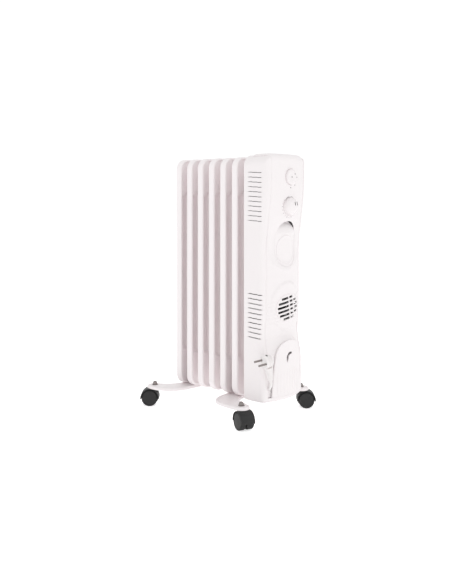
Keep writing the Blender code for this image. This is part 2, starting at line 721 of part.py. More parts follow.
def build_fan():
    """Grille, heater, impeller and motor, one behind the other."""
    front = front_y(0, FAN_Z)
    near, far = front - 0.02, front + 0.02
    disc = cone_mesh("fan_grille", (0, near, FAN_Z), (0, far, FAN_Z), GRILLE_RADIUS, sides=32)
    grille = place("fan_grille", disc, WHITE_PLASTIC)
    face = helper("grille_face", loft_mesh("grille_face", fascia_rings(0, HOUSING_BACK)))
    boolean(grille, face, "INTERSECT")
    behind = loft_mesh("grille_back", fascia_rings(FASCIA_WALL, HOUSING_BACK + 0.05))
    boolean(grille, helper("grille_back", behind), "DIFFERENCE")
    columns = [-GRILLE_RADIUS, *GRILLE_BARS, GRILLE_RADIUS]
    for row in range(GRILLE_ROWS):
        offset = (row - (GRILLE_ROWS - 1) / 2) * GRILLE_ROW_PITCH
        reach = math.sqrt((GRILLE_RADIUS - 0.003) ** 2 - offset ** 2)
        for left, right in zip(columns, columns[1:]):
            low_x = max(left + GRILLE_BAR_WIDTH / 2, -reach)
            high_x = min(right - GRILLE_BAR_WIDTH / 2, reach)
            if high_x - low_x < 0.003:
                continue
            low = (low_x, front - 0.02, FAN_Z + offset - GRILLE_SLOT / 2)
            high = (high_x, front + 0.02, FAN_Z + offset + GRILLE_SLOT / 2)
            slot = box_mesh("grille_slot", low, high)
            centre = Matrix.Translation((0, 0, FAN_Z))
            slot.transform(centre @ Matrix.Rotation(-GRILLE_SLANT, 4, "Y") @ centre.inverted())
            cut(grille, "grille_slot", slot)
    heater_y = front_y(HEATER_SIZE / 2, FAN_Z) + FASCIA_WALL + 0.004
    half = HEATER_SIZE / 2
    heater = place("fan_heater", box_mesh("fan_heater", (-half, heater_y, FAN_Z - half),
                                          (half, heater_y + HEATER_DEPTH, FAN_Z + half)), ALUMINIUM)
    for index in range(3):
        z = FAN_Z + (index - 1) * 0.0165
        low = (-half + 0.005, heater_y - 0.01, z - 0.0055)
        high = (half - 0.005, heater_y + HEATER_DEPTH + 0.01, z + 0.0055)
        cut(heater, "air_way", box_mesh("air_way", low, high))
    impeller_y = heater_y + HEATER_DEPTH + 0.003
    build_impeller(impeller_y)
    motor_y = impeller_y + IMPELLER_DEPTH + RUNNING_GAP
    motor = cone_mesh("fan_motor", (0, motor_y, FAN_Z), (0, motor_y + MOTOR_DEPTH, FAN_Z), MOTOR_RADIUS)
    place("fan_motor", motor, STEEL)


def build_impeller(front):
    """A hub with flat pitched blades, turning about Y."""
    hub = cone_mesh("fan_impeller", (0, 0, 0), (0, 0, -IMPELLER_DEPTH), 0.009)
    impeller = place("fan_impeller", hub, BLACK_PLASTIC, (0, front, FAN_Z), (math.radians(90), 0, 0))
    for blade in range(IMPELLER_BLADES):
        work = bmesh.new()
        size = (IMPELLER_RADIUS - 0.006, 0.015, 0.0016, 1)
        turn = Matrix.Rotation(2 * math.pi * blade / IMPELLER_BLADES, 4, "Z")
        shift = Matrix.Translation(((IMPELLER_RADIUS + 0.006) / 2, 0, -IMPELLER_DEPTH / 2))
        pitch = Matrix.Rotation(math.radians(28), 4, "X")
        bmesh.ops.create_cube(work, matrix=turn @ shift @ pitch @ Matrix.Diagonal(size))
        join(impeller, "blade", mesh_from("blade", work))
        impeller.modifiers[-1].object.parent = impeller


def build_electrics():
    """The small parts screwed inside the housing."""
    for name, low, high in (
        ("terminal_block", (0.020, HOUSING_BACK - 0.034, 0.322), (0.062, HOUSING_BACK - 0.022, 0.340)),
        ("thermal_cutout", (-0.058, HOUSING_BACK - 0.032, 0.402), (-0.042, HOUSING_BACK - 0.022, 0.418)),
        ("tilt_switch", (-0.062, HOUSING_BACK - 0.044, 0.316), (-0.036, HOUSING_BACK - 0.022, 0.338)),
    ):
        part = place(name, box_mesh(name, low, high), BLACK_PLASTIC)
        edge = part.modifiers.new("Edge", "BEVEL")
        edge.width = 0.0015
        edge.segments = 1


# --- Cord store, cord and plug -----------------------------------------------------------------

def cover_y(x):
    """The cover plate's face at a width."""
    return HOUSING_BACK - COVER_DEPTH + COVER_BOW * (x / FASCIA_HALF) ** 2


def build_store():
    """The well, the hub that the cord is wound on and the cover plate in front of it."""
    back = WELL_BACK_Y
    front = front_y(FASCIA_HALF, BASE_FADE[1]) + SEAT_DEPTH + HOUSING_WALL + GAP * 2
    outer = rounded_outline((-WELL_HALF_WIDTH, WELL_LOW_Z), (WELL_HALF_WIDTH, WELL_HIGH_Z), 0.009)
    well = place("cord_well", prism_mesh("cord_well", outer, back + WELL_WALL, front, "Y"), WHITE_PLASTIC)
    inset = WELL_WALL
    inner = rounded_outline(
        (-WELL_HALF_WIDTH + inset, WELL_LOW_Z + inset), (WELL_HALF_WIDTH - inset, WELL_HIGH_Z - inset), 0.007
    )
    cut(well, "well_inside", prism_mesh("well_inside", inner, back, front - 0.02, "Y"))
    hub_end = cover_y(HUB_RADIUS) + COVER_WALL + GAP
    drum = cone_mesh("winder_hub", (0, back - GAP, HUB_Z), (0, hub_end, HUB_Z), HUB_RADIUS)
    hub = place("winder_hub", drum, WHITE_PLASTIC)
    floor, mouth = back - HUB_WALL, hub_end - 0.02
    bore = cone_mesh("hub_bore", (0, floor, HUB_Z), (0, mouth, HUB_Z), HUB_RADIUS - HUB_WALL)
    cut(hub, "hub_bore", bore)
    build_cover()
    build_gland()


def build_cover():
    """The bowed tongue-shaped plate, with the hook slot that parks the plug's end."""
    rings = []
    for z in (0.050, 0.100, 0.150, 0.210):
        outer = [(x, cover_y(x), z) for x in (-0.07, -0.05, -0.03, -0.01, 0.01, 0.03, 0.05, 0.07)]
        inner = [(x, y + COVER_WALL, z) for x, y, z in reversed(outer)]
        rings.append([Vector(p) for p in outer + inner])
    cover = place("cord_cover", loft_mesh("cord_cover", rings), WHITE_PLASTIC)
    outline = store_outline(0.0, COVER_LOW_Z)
    blank = prism_mesh("cover_blank", outline, cover_y(0) - 0.03, HOUSING_BACK - 0.03, "Y")
    boolean(cover, helper("cover_blank", blank), "INTERSECT")
    slot = [(-0.0105, 0.137), (-0.0055, 0.145), (-0.0045, 0.153), (0.0010, 0.1575), (0.0085, 0.1575),
            (0.0085, 0.1630), (-0.0020, 0.1630), (-0.0090, 0.1590), (-0.0120, 0.1510)]
    cut(cover, "hook_slot", prism_mesh("hook_slot", slot, cover_y(0) - 0.03, cover_y(0) + 0.01, "Y"))


def coil_radii():
    """Centre-line radius of each layer of the wound cord."""
    return [COIL_RADIUS + (layer - (COIL_LAYERS - 1) / 2) * 2 * CORD_RADIUS for layer in range(COIL_LAYERS)]


def build_gland():
    """The tapered sleeve that the lead comes out of, in the bottom of the well."""
    x = -coil_radii()[-1]
    y = WELL_BACK_Y - GLAND_RADIUS - 0.0008
    base = WELL_LOW_Z + WELL_WALL + GAP
    turned(
        "cord_gland",
        [(0, GLAND_LENGTH), (0.0045, GLAND_LENGTH), (GLAND_RADIUS, 0.002), (GLAND_RADIUS, 0), (0, 0)],
        BLACK_RUBBER, (x, y, base), (0, 0, 0), 16,
    )
    top = base + GLAND_LENGTH + GAP
    outer = coil_radii()[-1] + CORD_RADIUS
    meet = HUB_Z - math.sqrt(outer ** 2 - (abs(x) - CORD_RADIUS) ** 2) - 0.0012
    route = [(x, y, top + (meet - top) * step / 4) for step in range(5)]
    tube("cord_inner_lead", route, CORD_RADIUS, CORD_WHITE, 3)
    inside = coil_radii()[0] - CORD_RADIUS
    half = COIL_TURNS_DEEP * CORD_RADIUS
    ring = [(outer, half), (outer, -half), (inside, -half), (inside, half), (outer, half)]
    coil_y = WELL_BACK_Y - 0.002 - COIL_TURNS_DEEP * CORD_RADIUS
    turned("cord_coil", ring, CORD_WHITE, (0, coil_y, HUB_Z), (math.radians(90), 0, 0), 32)


def build_plug():
    """The plug standing at the left of the cover, its two pins, its sleeve and the lead to the coil."""
    tube("cord_outer_lead", smooth_route(LEAD_OUT, 0.009), CORD_RADIUS, CORD_WHITE, 3)
    turn = Matrix.Rotation(-PLUG_TURN, 4, "Z") @ Matrix.Rotation(-PLUG_DIP, 4, "Y")
    turn = turn @ Matrix.Rotation(PLUG_ROLL, 4, "X")
    facing = turn @ Vector((-1, 0, 0))
    across = turn @ Vector((0, 1, 0))
    back = PLUG_CENTRE - facing * PLUG_DEPTH / 2
    front = PLUG_CENTRE + facing * PLUG_DEPTH / 2
    taper = cone_mesh("plug_body", back, front, PLUG_RADIUS * 0.86, PLUG_RADIUS)
    body = place("plug_body", taper, CORD_WHITE)
    for name, side in (("plug_pin_rear", 1), ("plug_pin_front", -1)):
        root = front + across * side * PIN_SPACING / 2
        start = root - facing * 0.006
        bottom, mouth = root - facing * 0.0063, root + facing * 0.005
        socket = cone_mesh("pin_socket", bottom, mouth, PIN_RADIUS + GAP, sides=12)
        cut(body, "pin_socket", socket)
        place(name, cone_mesh(name, start, root + facing * PIN_LENGTH, PIN_RADIUS, sides=12), CHROME)
    relief = cone_mesh("plug_sleeve", SLEEVE_START, SLEEVE_END, 0.0065, 0.0043, sides=16)
    place("plug_sleeve", relief, CORD_WHITE)


# --- Feet and castors --------------------------------------------------------------------------

def foot_outline(sweep):
    """The swept foot in plan, with its castor ends towards +Y."""
    half = TRACK / 2
    pad = 0.0225
    side = [
        (half * 0.55, -0.022),
        (half * 0.87, -0.017),
        (half + 0.008, -0.002),
        (half + 0.018, 0.018),
        (half + pad, sweep - 0.024),
    ]
    for step in range(7):
        turn = math.radians(180 * step / 6)
        side.append((half + pad * math.cos(turn), sweep + pad * math.sin(turn)))
    side += [(half - pad - 0.001, sweep - 0.018), (half * 0.72, 0.033), (half * 0.50, 0.0225)]
    return side + [(-x, y) for x, y in reversed(side)]


def build_feet():
    """Two pressed feet, each held to the lower header by a U-bolt and two wing nuts."""
    for name, end, gap_number in (("rear", 1, 1), ("front", -1, 5)):
        middle = (fin_y(gap_number) + fin_y(gap_number + 1)) / 2
        pin_y = middle + end * PIN_SWEEP[name]
        outline = [(x, middle + end * y) for x, y in foot_outline(PIN_SWEEP[name])]
        plate = prism_mesh(name + "_foot", outline, FOOT_TOP - FOOT_WALL, FOOT_TOP, "Z")
        foot = place(name + "_foot", plate, WHITE_PAINT)
        reach = BOSS_FACE_RADIUS + U_BOLT_RADIUS + 0.0042
        low = FOOT_TOP - FOOT_WALL - WING_NUT_HEIGHT - 0.004
        arch = [math.pi * i / 10 for i in range(11)]
        bend = [(reach * math.cos(t), middle, BOTTOM_HEADER_Z + reach * math.sin(t)) for t in arch]
        tube(name + "_u_bolt", [(reach, middle, low)] + bend + [(-reach, middle, low)], U_BOLT_RADIUS, ZINC)
        for side, label in ((-1, "left"), (1, "right")):
            hole = cone_mesh("u_hole", (side * reach, middle, 0.02), (side * reach, middle, 0.07),
                             U_BOLT_RADIUS + SEAT_GAP, sides=16)
            cut(foot, "u_hole", hole)
            build_wing_nut(f"{name}_{label}_wing_nut", side * reach, middle)
            pin = cone_mesh("pin_hole", (side * TRACK / 2, pin_y, 0.02), (side * TRACK / 2, pin_y, 0.07),
                            STUD_RADIUS + GAP, sides=16)
            cut(foot, "pin_hole", pin)
            build_castor(f"{name}_{label}", side, pin_y)


def build_wing_nut(name, x, y):
    """A nut with two wings under the foot."""
    top = FOOT_TOP - FOOT_WALL - GAP
    barrel = cone_mesh(name, (x, y, top), (x, y, top - WING_NUT_HEIGHT), WING_NUT_RADIUS, 0.005, 12)
    nut = place(name, barrel, ZINC)
    low = (x - WING_SPAN / 2, y - 0.001, top - WING_NUT_HEIGHT - 0.003)
    high = (x + WING_SPAN / 2, y + 0.001, top - 0.002)
    join(nut, "wings", box_mesh("wings", low, high))
    cut(nut, "nut_bore", cone_mesh("nut_bore", (x, y, 0.02), (x, y, 0.07), U_BOLT_RADIUS + GAP, sides=12))


def build_castor(name, side, y):
    """Stud with its cap nut, swivelling hood and twin wheels on one axle."""
    pivot = Vector((side * TRACK / 2, y, 0))
    turn = CASTORS[name][2]
    under = FOOT_TOP - FOOT_WALL
    turned(
        name + "_stud",
        [(0, CAP_NUT_HEIGHT), (CAP_NUT_RADIUS * 0.55, CAP_NUT_HEIGHT * 0.92),
         (CAP_NUT_RADIUS * 0.8, CAP_NUT_HEIGHT * 0.6), (CAP_NUT_RADIUS, CAP_NUT_HEIGHT * 0.45),
         (CAP_NUT_RADIUS, GAP), (STUD_RADIUS, GAP), (STUD_RADIUS, -0.0125), (0, -0.0125)],
        CHROME, pivot + Vector((0, 0, FOOT_TOP)), (0, 0, 0), 12,
    )
    swivel = bpy.data.objects.new(name + "_swivel", None)
    PARTS.objects.link(swivel)
    swivel.parent = FRAME
    swivel.location = pivot
    swivel.rotation_euler.z = turn
    hood = build_hood(name, under)
    hood.parent = swivel
    for modifier in hood.modifiers:
        modifier.object.parent = swivel
    wheels = build_wheels(name)
    wheels.parent = swivel
    wheels.location = (CASTOR_TRAIL, 0, WHEEL_RADIUS)
    for modifier in wheels.modifiers:
        modifier.object.parent = wheels


def build_hood(name, top):
    """The fender over both wheels, the web between them and the neck round the stud."""
    width = WEB_HALF + RUNNING_GAP + WHEEL_WIDTH
    centre = Vector((CASTOR_TRAIL, 0, WHEEL_RADIUS))
    outer = (WHEEL_RADIUS + FENDER_GAP + FENDER_WALL) / math.cos(math.pi / 20)
    reach = Vector((0, width, 0))
    barrel = cone_mesh("hood", centre - reach, centre + reach, outer, sides=20)
    hood = place(name + "_hood", barrel, CASTOR_BLACK)
    room = (WHEEL_RADIUS + FENDER_GAP) / math.cos(math.pi / 20)
    neck = cone_mesh("neck", (0, 0, WHEEL_RADIUS + 0.010), (0, 0, top - GAP), NECK_RADIUS, sides=16)
    join(hood, "neck", neck)
    for side in (-1, 1):
        start = centre + Vector((0, side * WEB_HALF, 0))
        end = centre + Vector((0, side * 0.05, 0))
        cut(hood, "wheel_room", cone_mesh("wheel_room", start, end, room, sides=20))
        low = (-0.05, min(side * WEB_HALF, side * 0.05), -0.01)
        high = (0.08, max(side * WEB_HALF, side * 0.05), HOOD_CUT_Z)
        cut(hood, "hood_cut", box_mesh("hood_cut", low, high))
    cut(hood, "web_cut", box_mesh("web_cut", (-0.05, -0.05, -0.01), (0.08, 0.05, HOOD_WEB_Z)))
    low = WHEEL_RADIUS + 0.0145
    stud_room = cone_mesh("stud_room", (0, 0, low), (0, 0, 0.07), STUD_RADIUS + RUNNING_GAP, sides=16)
    cut(hood, "stud_room", stud_room)
    bearing = cone_mesh("bearing", centre - Vector((0, 0.02, 0)), centre + Vector((0, 0.02, 0)),
                        AXLE_RADIUS + RUNNING_GAP, sides=16)
    cut(hood, "bearing", bearing)
    return hood


def build_wheels(name):
    """Two wheels and the axle that joins them, turning about their own Y axis."""
    inner = WEB_HALF + RUNNING_GAP
    tread = WHEEL_RADIUS / math.cos(math.pi / WHEEL_SIDES)
    axle = cone_mesh("axle", (0, -inner - 0.002, 0), (0, inner + 0.002, 0), AXLE_RADIUS, sides=16)
    wheels = place(name + "_wheels", axle, CASTOR_BLACK)
    half_step = Matrix.Rotation(math.pi / WHEEL_SIDES, 4, "Y")
    for side in (-1, 1):
        near, far = side * inner, side * (inner + WHEEL_WIDTH)
        disc = cone_mesh("wheel", (0, near, 0), (0, far, 0), tread, sides=WHEEL_SIDES)
        lowest = min(vertex.co.z for vertex in disc.vertices)
        if lowest < -WHEEL_RADIUS - 0.00001:
            disc.transform(half_step)
        join(wheels, "wheel", disc)
    return wheels


# --- Assembly ----------------------------------------------------------------------------------

def centre_on_footprint():
    """Moves the frame so that the object's box is centred on the origin, cord and plug left out."""
    bpy.context.view_layer.update()
    graph = bpy.context.evaluated_depsgraph_get()
    reach = []
    for obj in PARTS.objects:
        if obj.type == "EMPTY" or obj.name.startswith(("cord_inner", "cord_outer", "cord_coil", "plug_")):
            continue
        shown = obj.evaluated_get(graph)
        reach += [(shown.matrix_world @ vertex.co).y for vertex in shown.to_mesh().vertices]
    FRAME.location.y = -(min(reach) + max(reach)) / 2


clear_scene()
PARTS = bpy.data.collections.new("oil_radiator")
CUTTERS = bpy.data.collections.new("cutters")
for group in (PARTS, CUTTERS):
    bpy.context.scene.collection.children.link(group)
FRAME = bpy.data.objects.new("radiator_frame", None)
PARTS.objects.link(FRAME)

WHITE_PAINT = material("white_paint", (0.86, 0.83, 0.83), 0.38)
WHITE_PLASTIC = material("white_plastic", (0.88, 0.86, 0.86), 0.30)
GLOSS_WHITE = material("gloss_white", (0.90, 0.88, 0.88), 0.22)
CORD_WHITE = material("cord_white", (0.85, 0.84, 0.83), 0.45)
BLACK_PLASTIC = material("black_plastic", (0.03, 0.03, 0.03), 0.45)
BLACK_RUBBER = material("black_rubber", (0.02, 0.02, 0.02), 0.60)
CASTOR_BLACK = material("castor_black", (0.025, 0.024, 0.025), 0.40)
SCREEN_BLACK = material("cutter", (0.3, 0.1, 0.1), 0.5)
ZINC = material("zinc", (0.55, 0.55, 0.54), 0.35, 1.0)
STEEL = material("steel", (0.45, 0.45, 0.45), 0.35, 1.0)
BRASS = material("brass", (0.70, 0.52, 0.22), 0.30, 1.0)
ALUMINIUM = material("aluminium", (0.70, 0.70, 0.70), 0.40, 1.0)
CHROME = material("chrome", (0.70, 0.70, 0.71), 0.12, 1.0)

build_vessel()
build_housing()
build_fascia()
build_knob("selector_knob", SELECTOR_Z, SELECTOR_RADIUS, SELECTOR_RISE, 0.002)
build_knob("thermostat_knob", THERMOSTAT_Z, THERMOSTAT_RADIUS, THERMOSTAT_RISE, 0.004)
build_grip()
build_fan()
build_electrics()
build_store()
build_plug()
build_feet()
centre_on_footprint()
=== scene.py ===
"""Looks of a seven-fin oil filled radiator heater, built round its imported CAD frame.

Every piece is made in the fit frame, whose Y = 0 lies between the third and the fourth fin from the
rear, and is moved into the row frame when it is published. Lengths are in metres.
"""

import json
import logging
import math
from dataclasses import dataclass, field
from enum import Enum
from typing import Callable, Iterable, Sequence

import bmesh
import bpy
from mathutils import Matrix, Vector


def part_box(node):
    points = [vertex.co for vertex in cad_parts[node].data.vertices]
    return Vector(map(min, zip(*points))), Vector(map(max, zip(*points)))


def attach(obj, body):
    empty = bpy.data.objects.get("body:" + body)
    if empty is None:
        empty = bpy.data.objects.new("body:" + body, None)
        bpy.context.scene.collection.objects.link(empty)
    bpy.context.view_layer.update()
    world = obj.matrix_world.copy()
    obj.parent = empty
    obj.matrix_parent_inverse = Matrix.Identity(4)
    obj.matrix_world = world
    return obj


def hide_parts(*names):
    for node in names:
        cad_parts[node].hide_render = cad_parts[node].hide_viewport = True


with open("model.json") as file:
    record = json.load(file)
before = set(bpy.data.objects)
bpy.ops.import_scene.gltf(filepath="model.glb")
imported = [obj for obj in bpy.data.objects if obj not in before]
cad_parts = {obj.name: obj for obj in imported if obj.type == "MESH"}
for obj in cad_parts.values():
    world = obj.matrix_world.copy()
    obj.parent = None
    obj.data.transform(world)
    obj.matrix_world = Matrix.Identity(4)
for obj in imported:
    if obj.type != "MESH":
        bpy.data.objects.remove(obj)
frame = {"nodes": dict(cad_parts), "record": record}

LOG = logging.getLogger("oil_radiator")
Point = tuple[float, float, float]
Flat = tuple[float, float]
CASTORS = ("rear_left", "rear_right", "front_left", "front_right")
FIN_PITCH = 0.0375
SHIFT = Vector((0, sum(corner[1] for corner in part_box("oil_fin_4")) / 2 + FIN_PITCH / 2, 0))
BACK = -0.12755  # the housing's back edge
OUTLET_Z = 0.2665  # middle of the fan's outlet
OUTLET_STRETCH = 1.25  # its width as a share of its height
GRIP_HALF = 0.0370
GRIP_LOW, GRIP_HIGH = 0.362, 0.470


class Axis(Enum):
    """The direction a prism or a turned piece runs in."""

    X = 0
    Y = 1
    Z = 2


# --- Finishes ------------------------------------------------------------------------------------


@dataclass(frozen=True)
class Finish:
    """One material's look."""

    colour: tuple[float, float, float]
    roughness: float
    metallic: float = 0.0
    coat: float = 0.0
    tint_swing: float = 0.012
    rough_swing: float = 0.05
    grain: float = 900.0
    grain_depth: float = 0.000012
    brushed: bool = False


FINISHES = {
    "white_paint": Finish((0.930, 0.884, 0.890), 0.36, coat=0.12, grain=420, grain_depth=0.000020),
    "white_plastic": Finish((0.905, 0.865, 0.870), 0.40, grain=1500, grain_depth=0.000014),
    "gloss_white": Finish((0.900, 0.858, 0.864), 0.26, coat=0.25, grain=700, grain_depth=0.000005),
    "cord_white": Finish((0.885, 0.855, 0.852), 0.48, grain=1800, grain_depth=0.000012),
    "black_plastic": Finish((0.028, 0.027, 0.028), 0.46, grain=1400, grain_depth=0.000020),
    "black_rubber": Finish((0.022, 0.021, 0.022), 0.62, grain=1100, grain_depth=0.000025),
    "castor_black": Finish((0.010, 0.0095, 0.010), 0.46, grain=1200, grain_depth=0.000018),
    "zinc": Finish((0.56, 0.56, 0.55), 0.34, 1.0, tint_swing=0.10, rough_swing=0.12, brushed=True),
    "steel": Finish((0.46, 0.46, 0.46), 0.36, 1.0, tint_swing=0.08, rough_swing=0.12, brushed=True),
    "brass": Finish((0.70, 0.52, 0.22), 0.30, 1.0, tint_swing=0.06, rough_swing=0.10, brushed=True),
    # aluminium: the heater behind the fan grille; its colour is darkened to near black as painted shade for the
    # shadow it sits in, not the metal's own tone
    "aluminium": Finish((0.14, 0.14, 0.145), 0.42, 1.0, tint_swing=0.06, rough_swing=0.12, brushed=True),
    "chrome": Finish((0.70, 0.70, 0.71), 0.14, 1.0, tint_swing=0.02, rough_swing=0.04, brushed=True),
    "dark_metal": Finish((0.30, 0.27, 0.26), 0.32, 1.0, tint_swing=0.10, rough_swing=0.10, brushed=True),
    "ink": Finish((0.035, 0.030, 0.032), 0.55, grain=1500, grain_depth=0.000006),
    "print_grey": Finish((0.34, 0.32, 0.33), 0.55, grain=1500, grain_depth=0.000006),
}


def new_socket(group: bpy.types.NodeTree, name: str, kind: str, default=None, output: bool = False) -> None:
    """Adds a named socket to a group, with its default value."""
    made = group.interface.new_socket(name, in_out="OUTPUT" if output else "INPUT", socket_type=kind)
    if default is not None:
        made.default_value = default


def surface_group(name: str, stretch: Point) -> bpy.types.NodeTree:
    """A shared shader group that gives a finish its slight unevenness.

    Args:
        name: The group's name.
        stretch: How much the fine noise is drawn out along each axis; (1, 1, 1) is an even grain.

    Returns:
        The group. Its outputs feed Base Color, Roughness and Bump Height.
    """
    group = bpy.data.node_groups.new(name, "ShaderNodeTree")
    new_socket(group, "Coordinate", "NodeSocketVector")
    new_socket(group, "Tint", "NodeSocketColor", (0.8, 0.8, 0.8, 1))
    new_socket(group, "Tint Swing", "NodeSocketFloat", 0.02)
    new_socket(group, "Roughness", "NodeSocketFloat", 0.4)
    new_socket(group, "Roughness Swing", "NodeSocketFloat", 0.05)
    new_socket(group, "Grain Scale", "NodeSocketFloat", 900.0)
    new_socket(group, "Grain Depth", "NodeSocketFloat", 0.00001)
    new_socket(group, "Base Color", "NodeSocketColor", output=True)
    new_socket(group, "Roughness", "NodeSocketFloat", output=True)
    new_socket(group, "Bump Height", "NodeSocketFloat", output=True)
    nodes, links = group.nodes, group.links
    source, sink = nodes.new("NodeGroupInput"), nodes.new("NodeGroupOutput")
    mapping = nodes.new("ShaderNodeMapping")
    mapping.inputs["Scale"].default_value = stretch
    fine, broad = nodes.new("ShaderNodeTexNoise"), nodes.new("ShaderNodeTexNoise")
    fine.inputs["Detail"].default_value = 3.0
    broad.inputs["Scale"].default_value = 22.0
    broad.inputs["Detail"].default_value = 4.0
    links.new(source.outputs["Coordinate"], mapping.inputs["Vector"])
    links.new(mapping.outputs["Vector"], fine.inputs["Vector"])
    links.new(source.outputs["Grain Scale"], fine.inputs["Scale"])
    links.new(source.outputs["Coordinate"], broad.inputs["Vector"])
    height = nodes.new("ShaderNodeMath")
    height.operation = "MULTIPLY"
    links.new(fine.outputs["Fac"], height.inputs[0])
    links.new(source.outputs["Grain Depth"], height.inputs[1])
    links.new(height.outputs[0], sink.inputs["Bump Height"])
    centred = nodes.new("ShaderNodeMath")
    centred.operation = "SUBTRACT"
    centred.inputs[1].default_value = 0.5
    links.new(broad.outputs["Fac"], centred.inputs[0])
    swing = nodes.new("ShaderNodeMath")
    swing.operation = "MULTIPLY_ADD"
    links.new(centred.outputs[0], swing.inputs[0])
    links.new(source.outputs["Roughness Swing"], swing.inputs[1])
    links.new(source.outputs["Roughness"], swing.inputs[2])
    links.new(swing.outputs[0], sink.inputs["Roughness"])
    gain = nodes.new("ShaderNodeMath")
    gain.operation = "MULTIPLY_ADD"
    gain.inputs[2].default_value = 1.0
    links.new(centred.outputs[0], gain.inputs[0])
    links.new(source.outputs["Tint Swing"], gain.inputs[1])
    tinted = nodes.new("ShaderNodeVectorMath")
    tinted.operation = "SCALE"
    links.new(source.outputs["Tint"], tinted.inputs[0])
    links.new(gain.outputs[0], tinted.inputs["Scale"])
    links.new(tinted.outputs["Vector"], sink.inputs["Base Color"])
    return group


class Palette:
    """The materials, one for each finish, made from two shared groups."""

    def __init__(self) -> None:
        self.even = surface_group("moulded_surface", (1, 1, 1))
        self.drawn = surface_group("brushed_surface", (0.12, 1, 1))
        self.made = {name: self._material(name, finish) for name, finish in FINISHES.items()}

    def _material(self, name: str, finish: Finish) -> bpy.types.Material:
        """Builds one material around the shared group."""
        material = bpy.data.materials.new(f"{name}_finish")
        material.use_nodes = True
        material.diffuse_color = (*finish.colour, 1)
        nodes, links = material.node_tree.nodes, material.node_tree.links
        shader = nodes["Principled BSDF"]
        shader.inputs["Metallic"].default_value = finish.metallic
        shader.inputs["Coat Weight"].default_value = finish.coat
        surface = nodes.new("ShaderNodeGroup")
        surface.node_tree = self.drawn if finish.brushed else self.even
        surface.inputs["Tint"].default_value = (*finish.colour, 1)
        surface.inputs["Tint Swing"].default_value = finish.tint_swing
        surface.inputs["Roughness"].default_value = finish.roughness
        surface.inputs["Roughness Swing"].default_value = finish.rough_swing
        surface.inputs["Grain Scale"].default_value = finish.grain
        surface.inputs["Grain Depth"].default_value = finish.grain_depth
        place = nodes.new("ShaderNodeTexCoord")
        bump = nodes.new("ShaderNodeBump")
        bump.inputs["Distance"].default_value = 1.0
        bump.inputs["Strength"].default_value = 0.6
        links.new(place.outputs["Object"], surface.inputs["Coordinate"])
        links.new(surface.outputs["Base Color"], shader.inputs["Base Color"])
        links.new(surface.outputs["Roughness"], shader.inputs["Roughness"])
        links.new(surface.outputs["Bump Height"], bump.inputs["Height"])
        links.new(bump.outputs["Normal"], shader.inputs["Normal"])
        return material

    def dress_frame(self) -> None:
        """Gives every CAD node the finish of its slot in the record."""
        for part in frame["record"]["subparts"]:
            mesh = frame["nodes"][part["node"]].data
            mesh.materials.clear()
            mesh.materials.append(self.made[part["material_slot"]])


# --- Mesh tools ----------------------------------------------------------------------------------


def mesh_object(name: str, work: bmesh.types.BMesh) -> bpy.types.Object:
    """Turns a bmesh into a linked object with its faces outward."""
    bmesh.ops.recalc_face_normals(work, faces=work.faces)
    mesh = bpy.data.meshes.new(name)
    work.to_mesh(mesh)
    work.free()
    obj = bpy.data.objects.new(name, mesh)
    bpy.context.scene.collection.objects.link(obj)
    return obj


def loft(
    name: str, rings: Sequence[Sequence[Point]], loop: bool = True, capped: bool = True, round_trip: bool = False
) -> bpy.types.Object:
    """Joins rows of points with quads.

    Args:
        name: The object's name.
        rings: Rows of equally many points.
        loop: Whether each row closes on itself.
        capped: Whether the first and the last row get a face.
        round_trip: Whether the last row joins the first one.

    Returns:
        The new object.
    """
    work = bmesh.new()
    rows = [[work.verts.new(point) for point in ring] for ring in rings]
    pairs = list(zip(rows, rows[1:] + rows[:1] if round_trip else rows[1:]))
    for low, high in pairs:
        count = len(low)
        for index in range(count if loop else count - 1):
            after = (index + 1) % count
            work.faces.new((low[index], low[after], high[after], high[index]))
    if capped and loop and not round_trip:
        work.faces.new(rows[0])
        work.faces.new(list(reversed(rows[-1])))
    return mesh_object(name, work)


def laid(flat: Flat, along: float, axis: Axis) -> Point:
    """A point from two coordinates of an outline and a third one along the axis."""
    a, b = flat
    return {Axis.X: (along, a, b), Axis.Y: (a, along, b), Axis.Z: (a, b, along)}[axis]


def prism(name: str, outline: Sequence[Flat], low: float, high: float, axis: Axis) -> bpy.types.Object:
    """A closed prism over an outline."""
    return loft(name, [[laid(point, level, axis) for point in outline] for level in (low, high)])


def block(name: str, low: Point, high: Point) -> bpy.types.Object:
    """A box between two corners."""
    outline = [(low[0], low[1]), (high[0], low[1]), (high[0], high[1]), (low[0], high[1])]
    return prism(name, outline, low[2], high[2], Axis.Z)


def rounded(low: Flat, high: Flat, radius: float, steps: int = 8) -> list[Flat]:
    """A rectangle's outline with rounded corners."""
    points = []
    corners = (
        (high[0] - radius, high[1] - radius, 0), (low[0] + radius, high[1] - radius, 90),
        (low[0] + radius, low[1] + radius, 180), (high[0] - radius, low[1] + radius, 270),
    )
    for x, y, start in corners:
        for step in range(steps + 1):
            turn = math.radians(start + 90 * step / steps)
            points.append((x + radius * math.cos(turn), y + radius * math.sin(turn)))
    return points


def corners_cut(outline: Sequence[Flat], share: float) -> list[Vector]:
    """A closed outline with its corners cut twice, each at a share of the sides beside it."""
    points = [Vector(point) for point in outline]
    for _ in range(2):
        sides = list(zip(points, points[1:] + points[:1]))
        points = [place for a, b in sides for place in (a.lerp(b, share), a.lerp(b, 1 - share))]
    return points


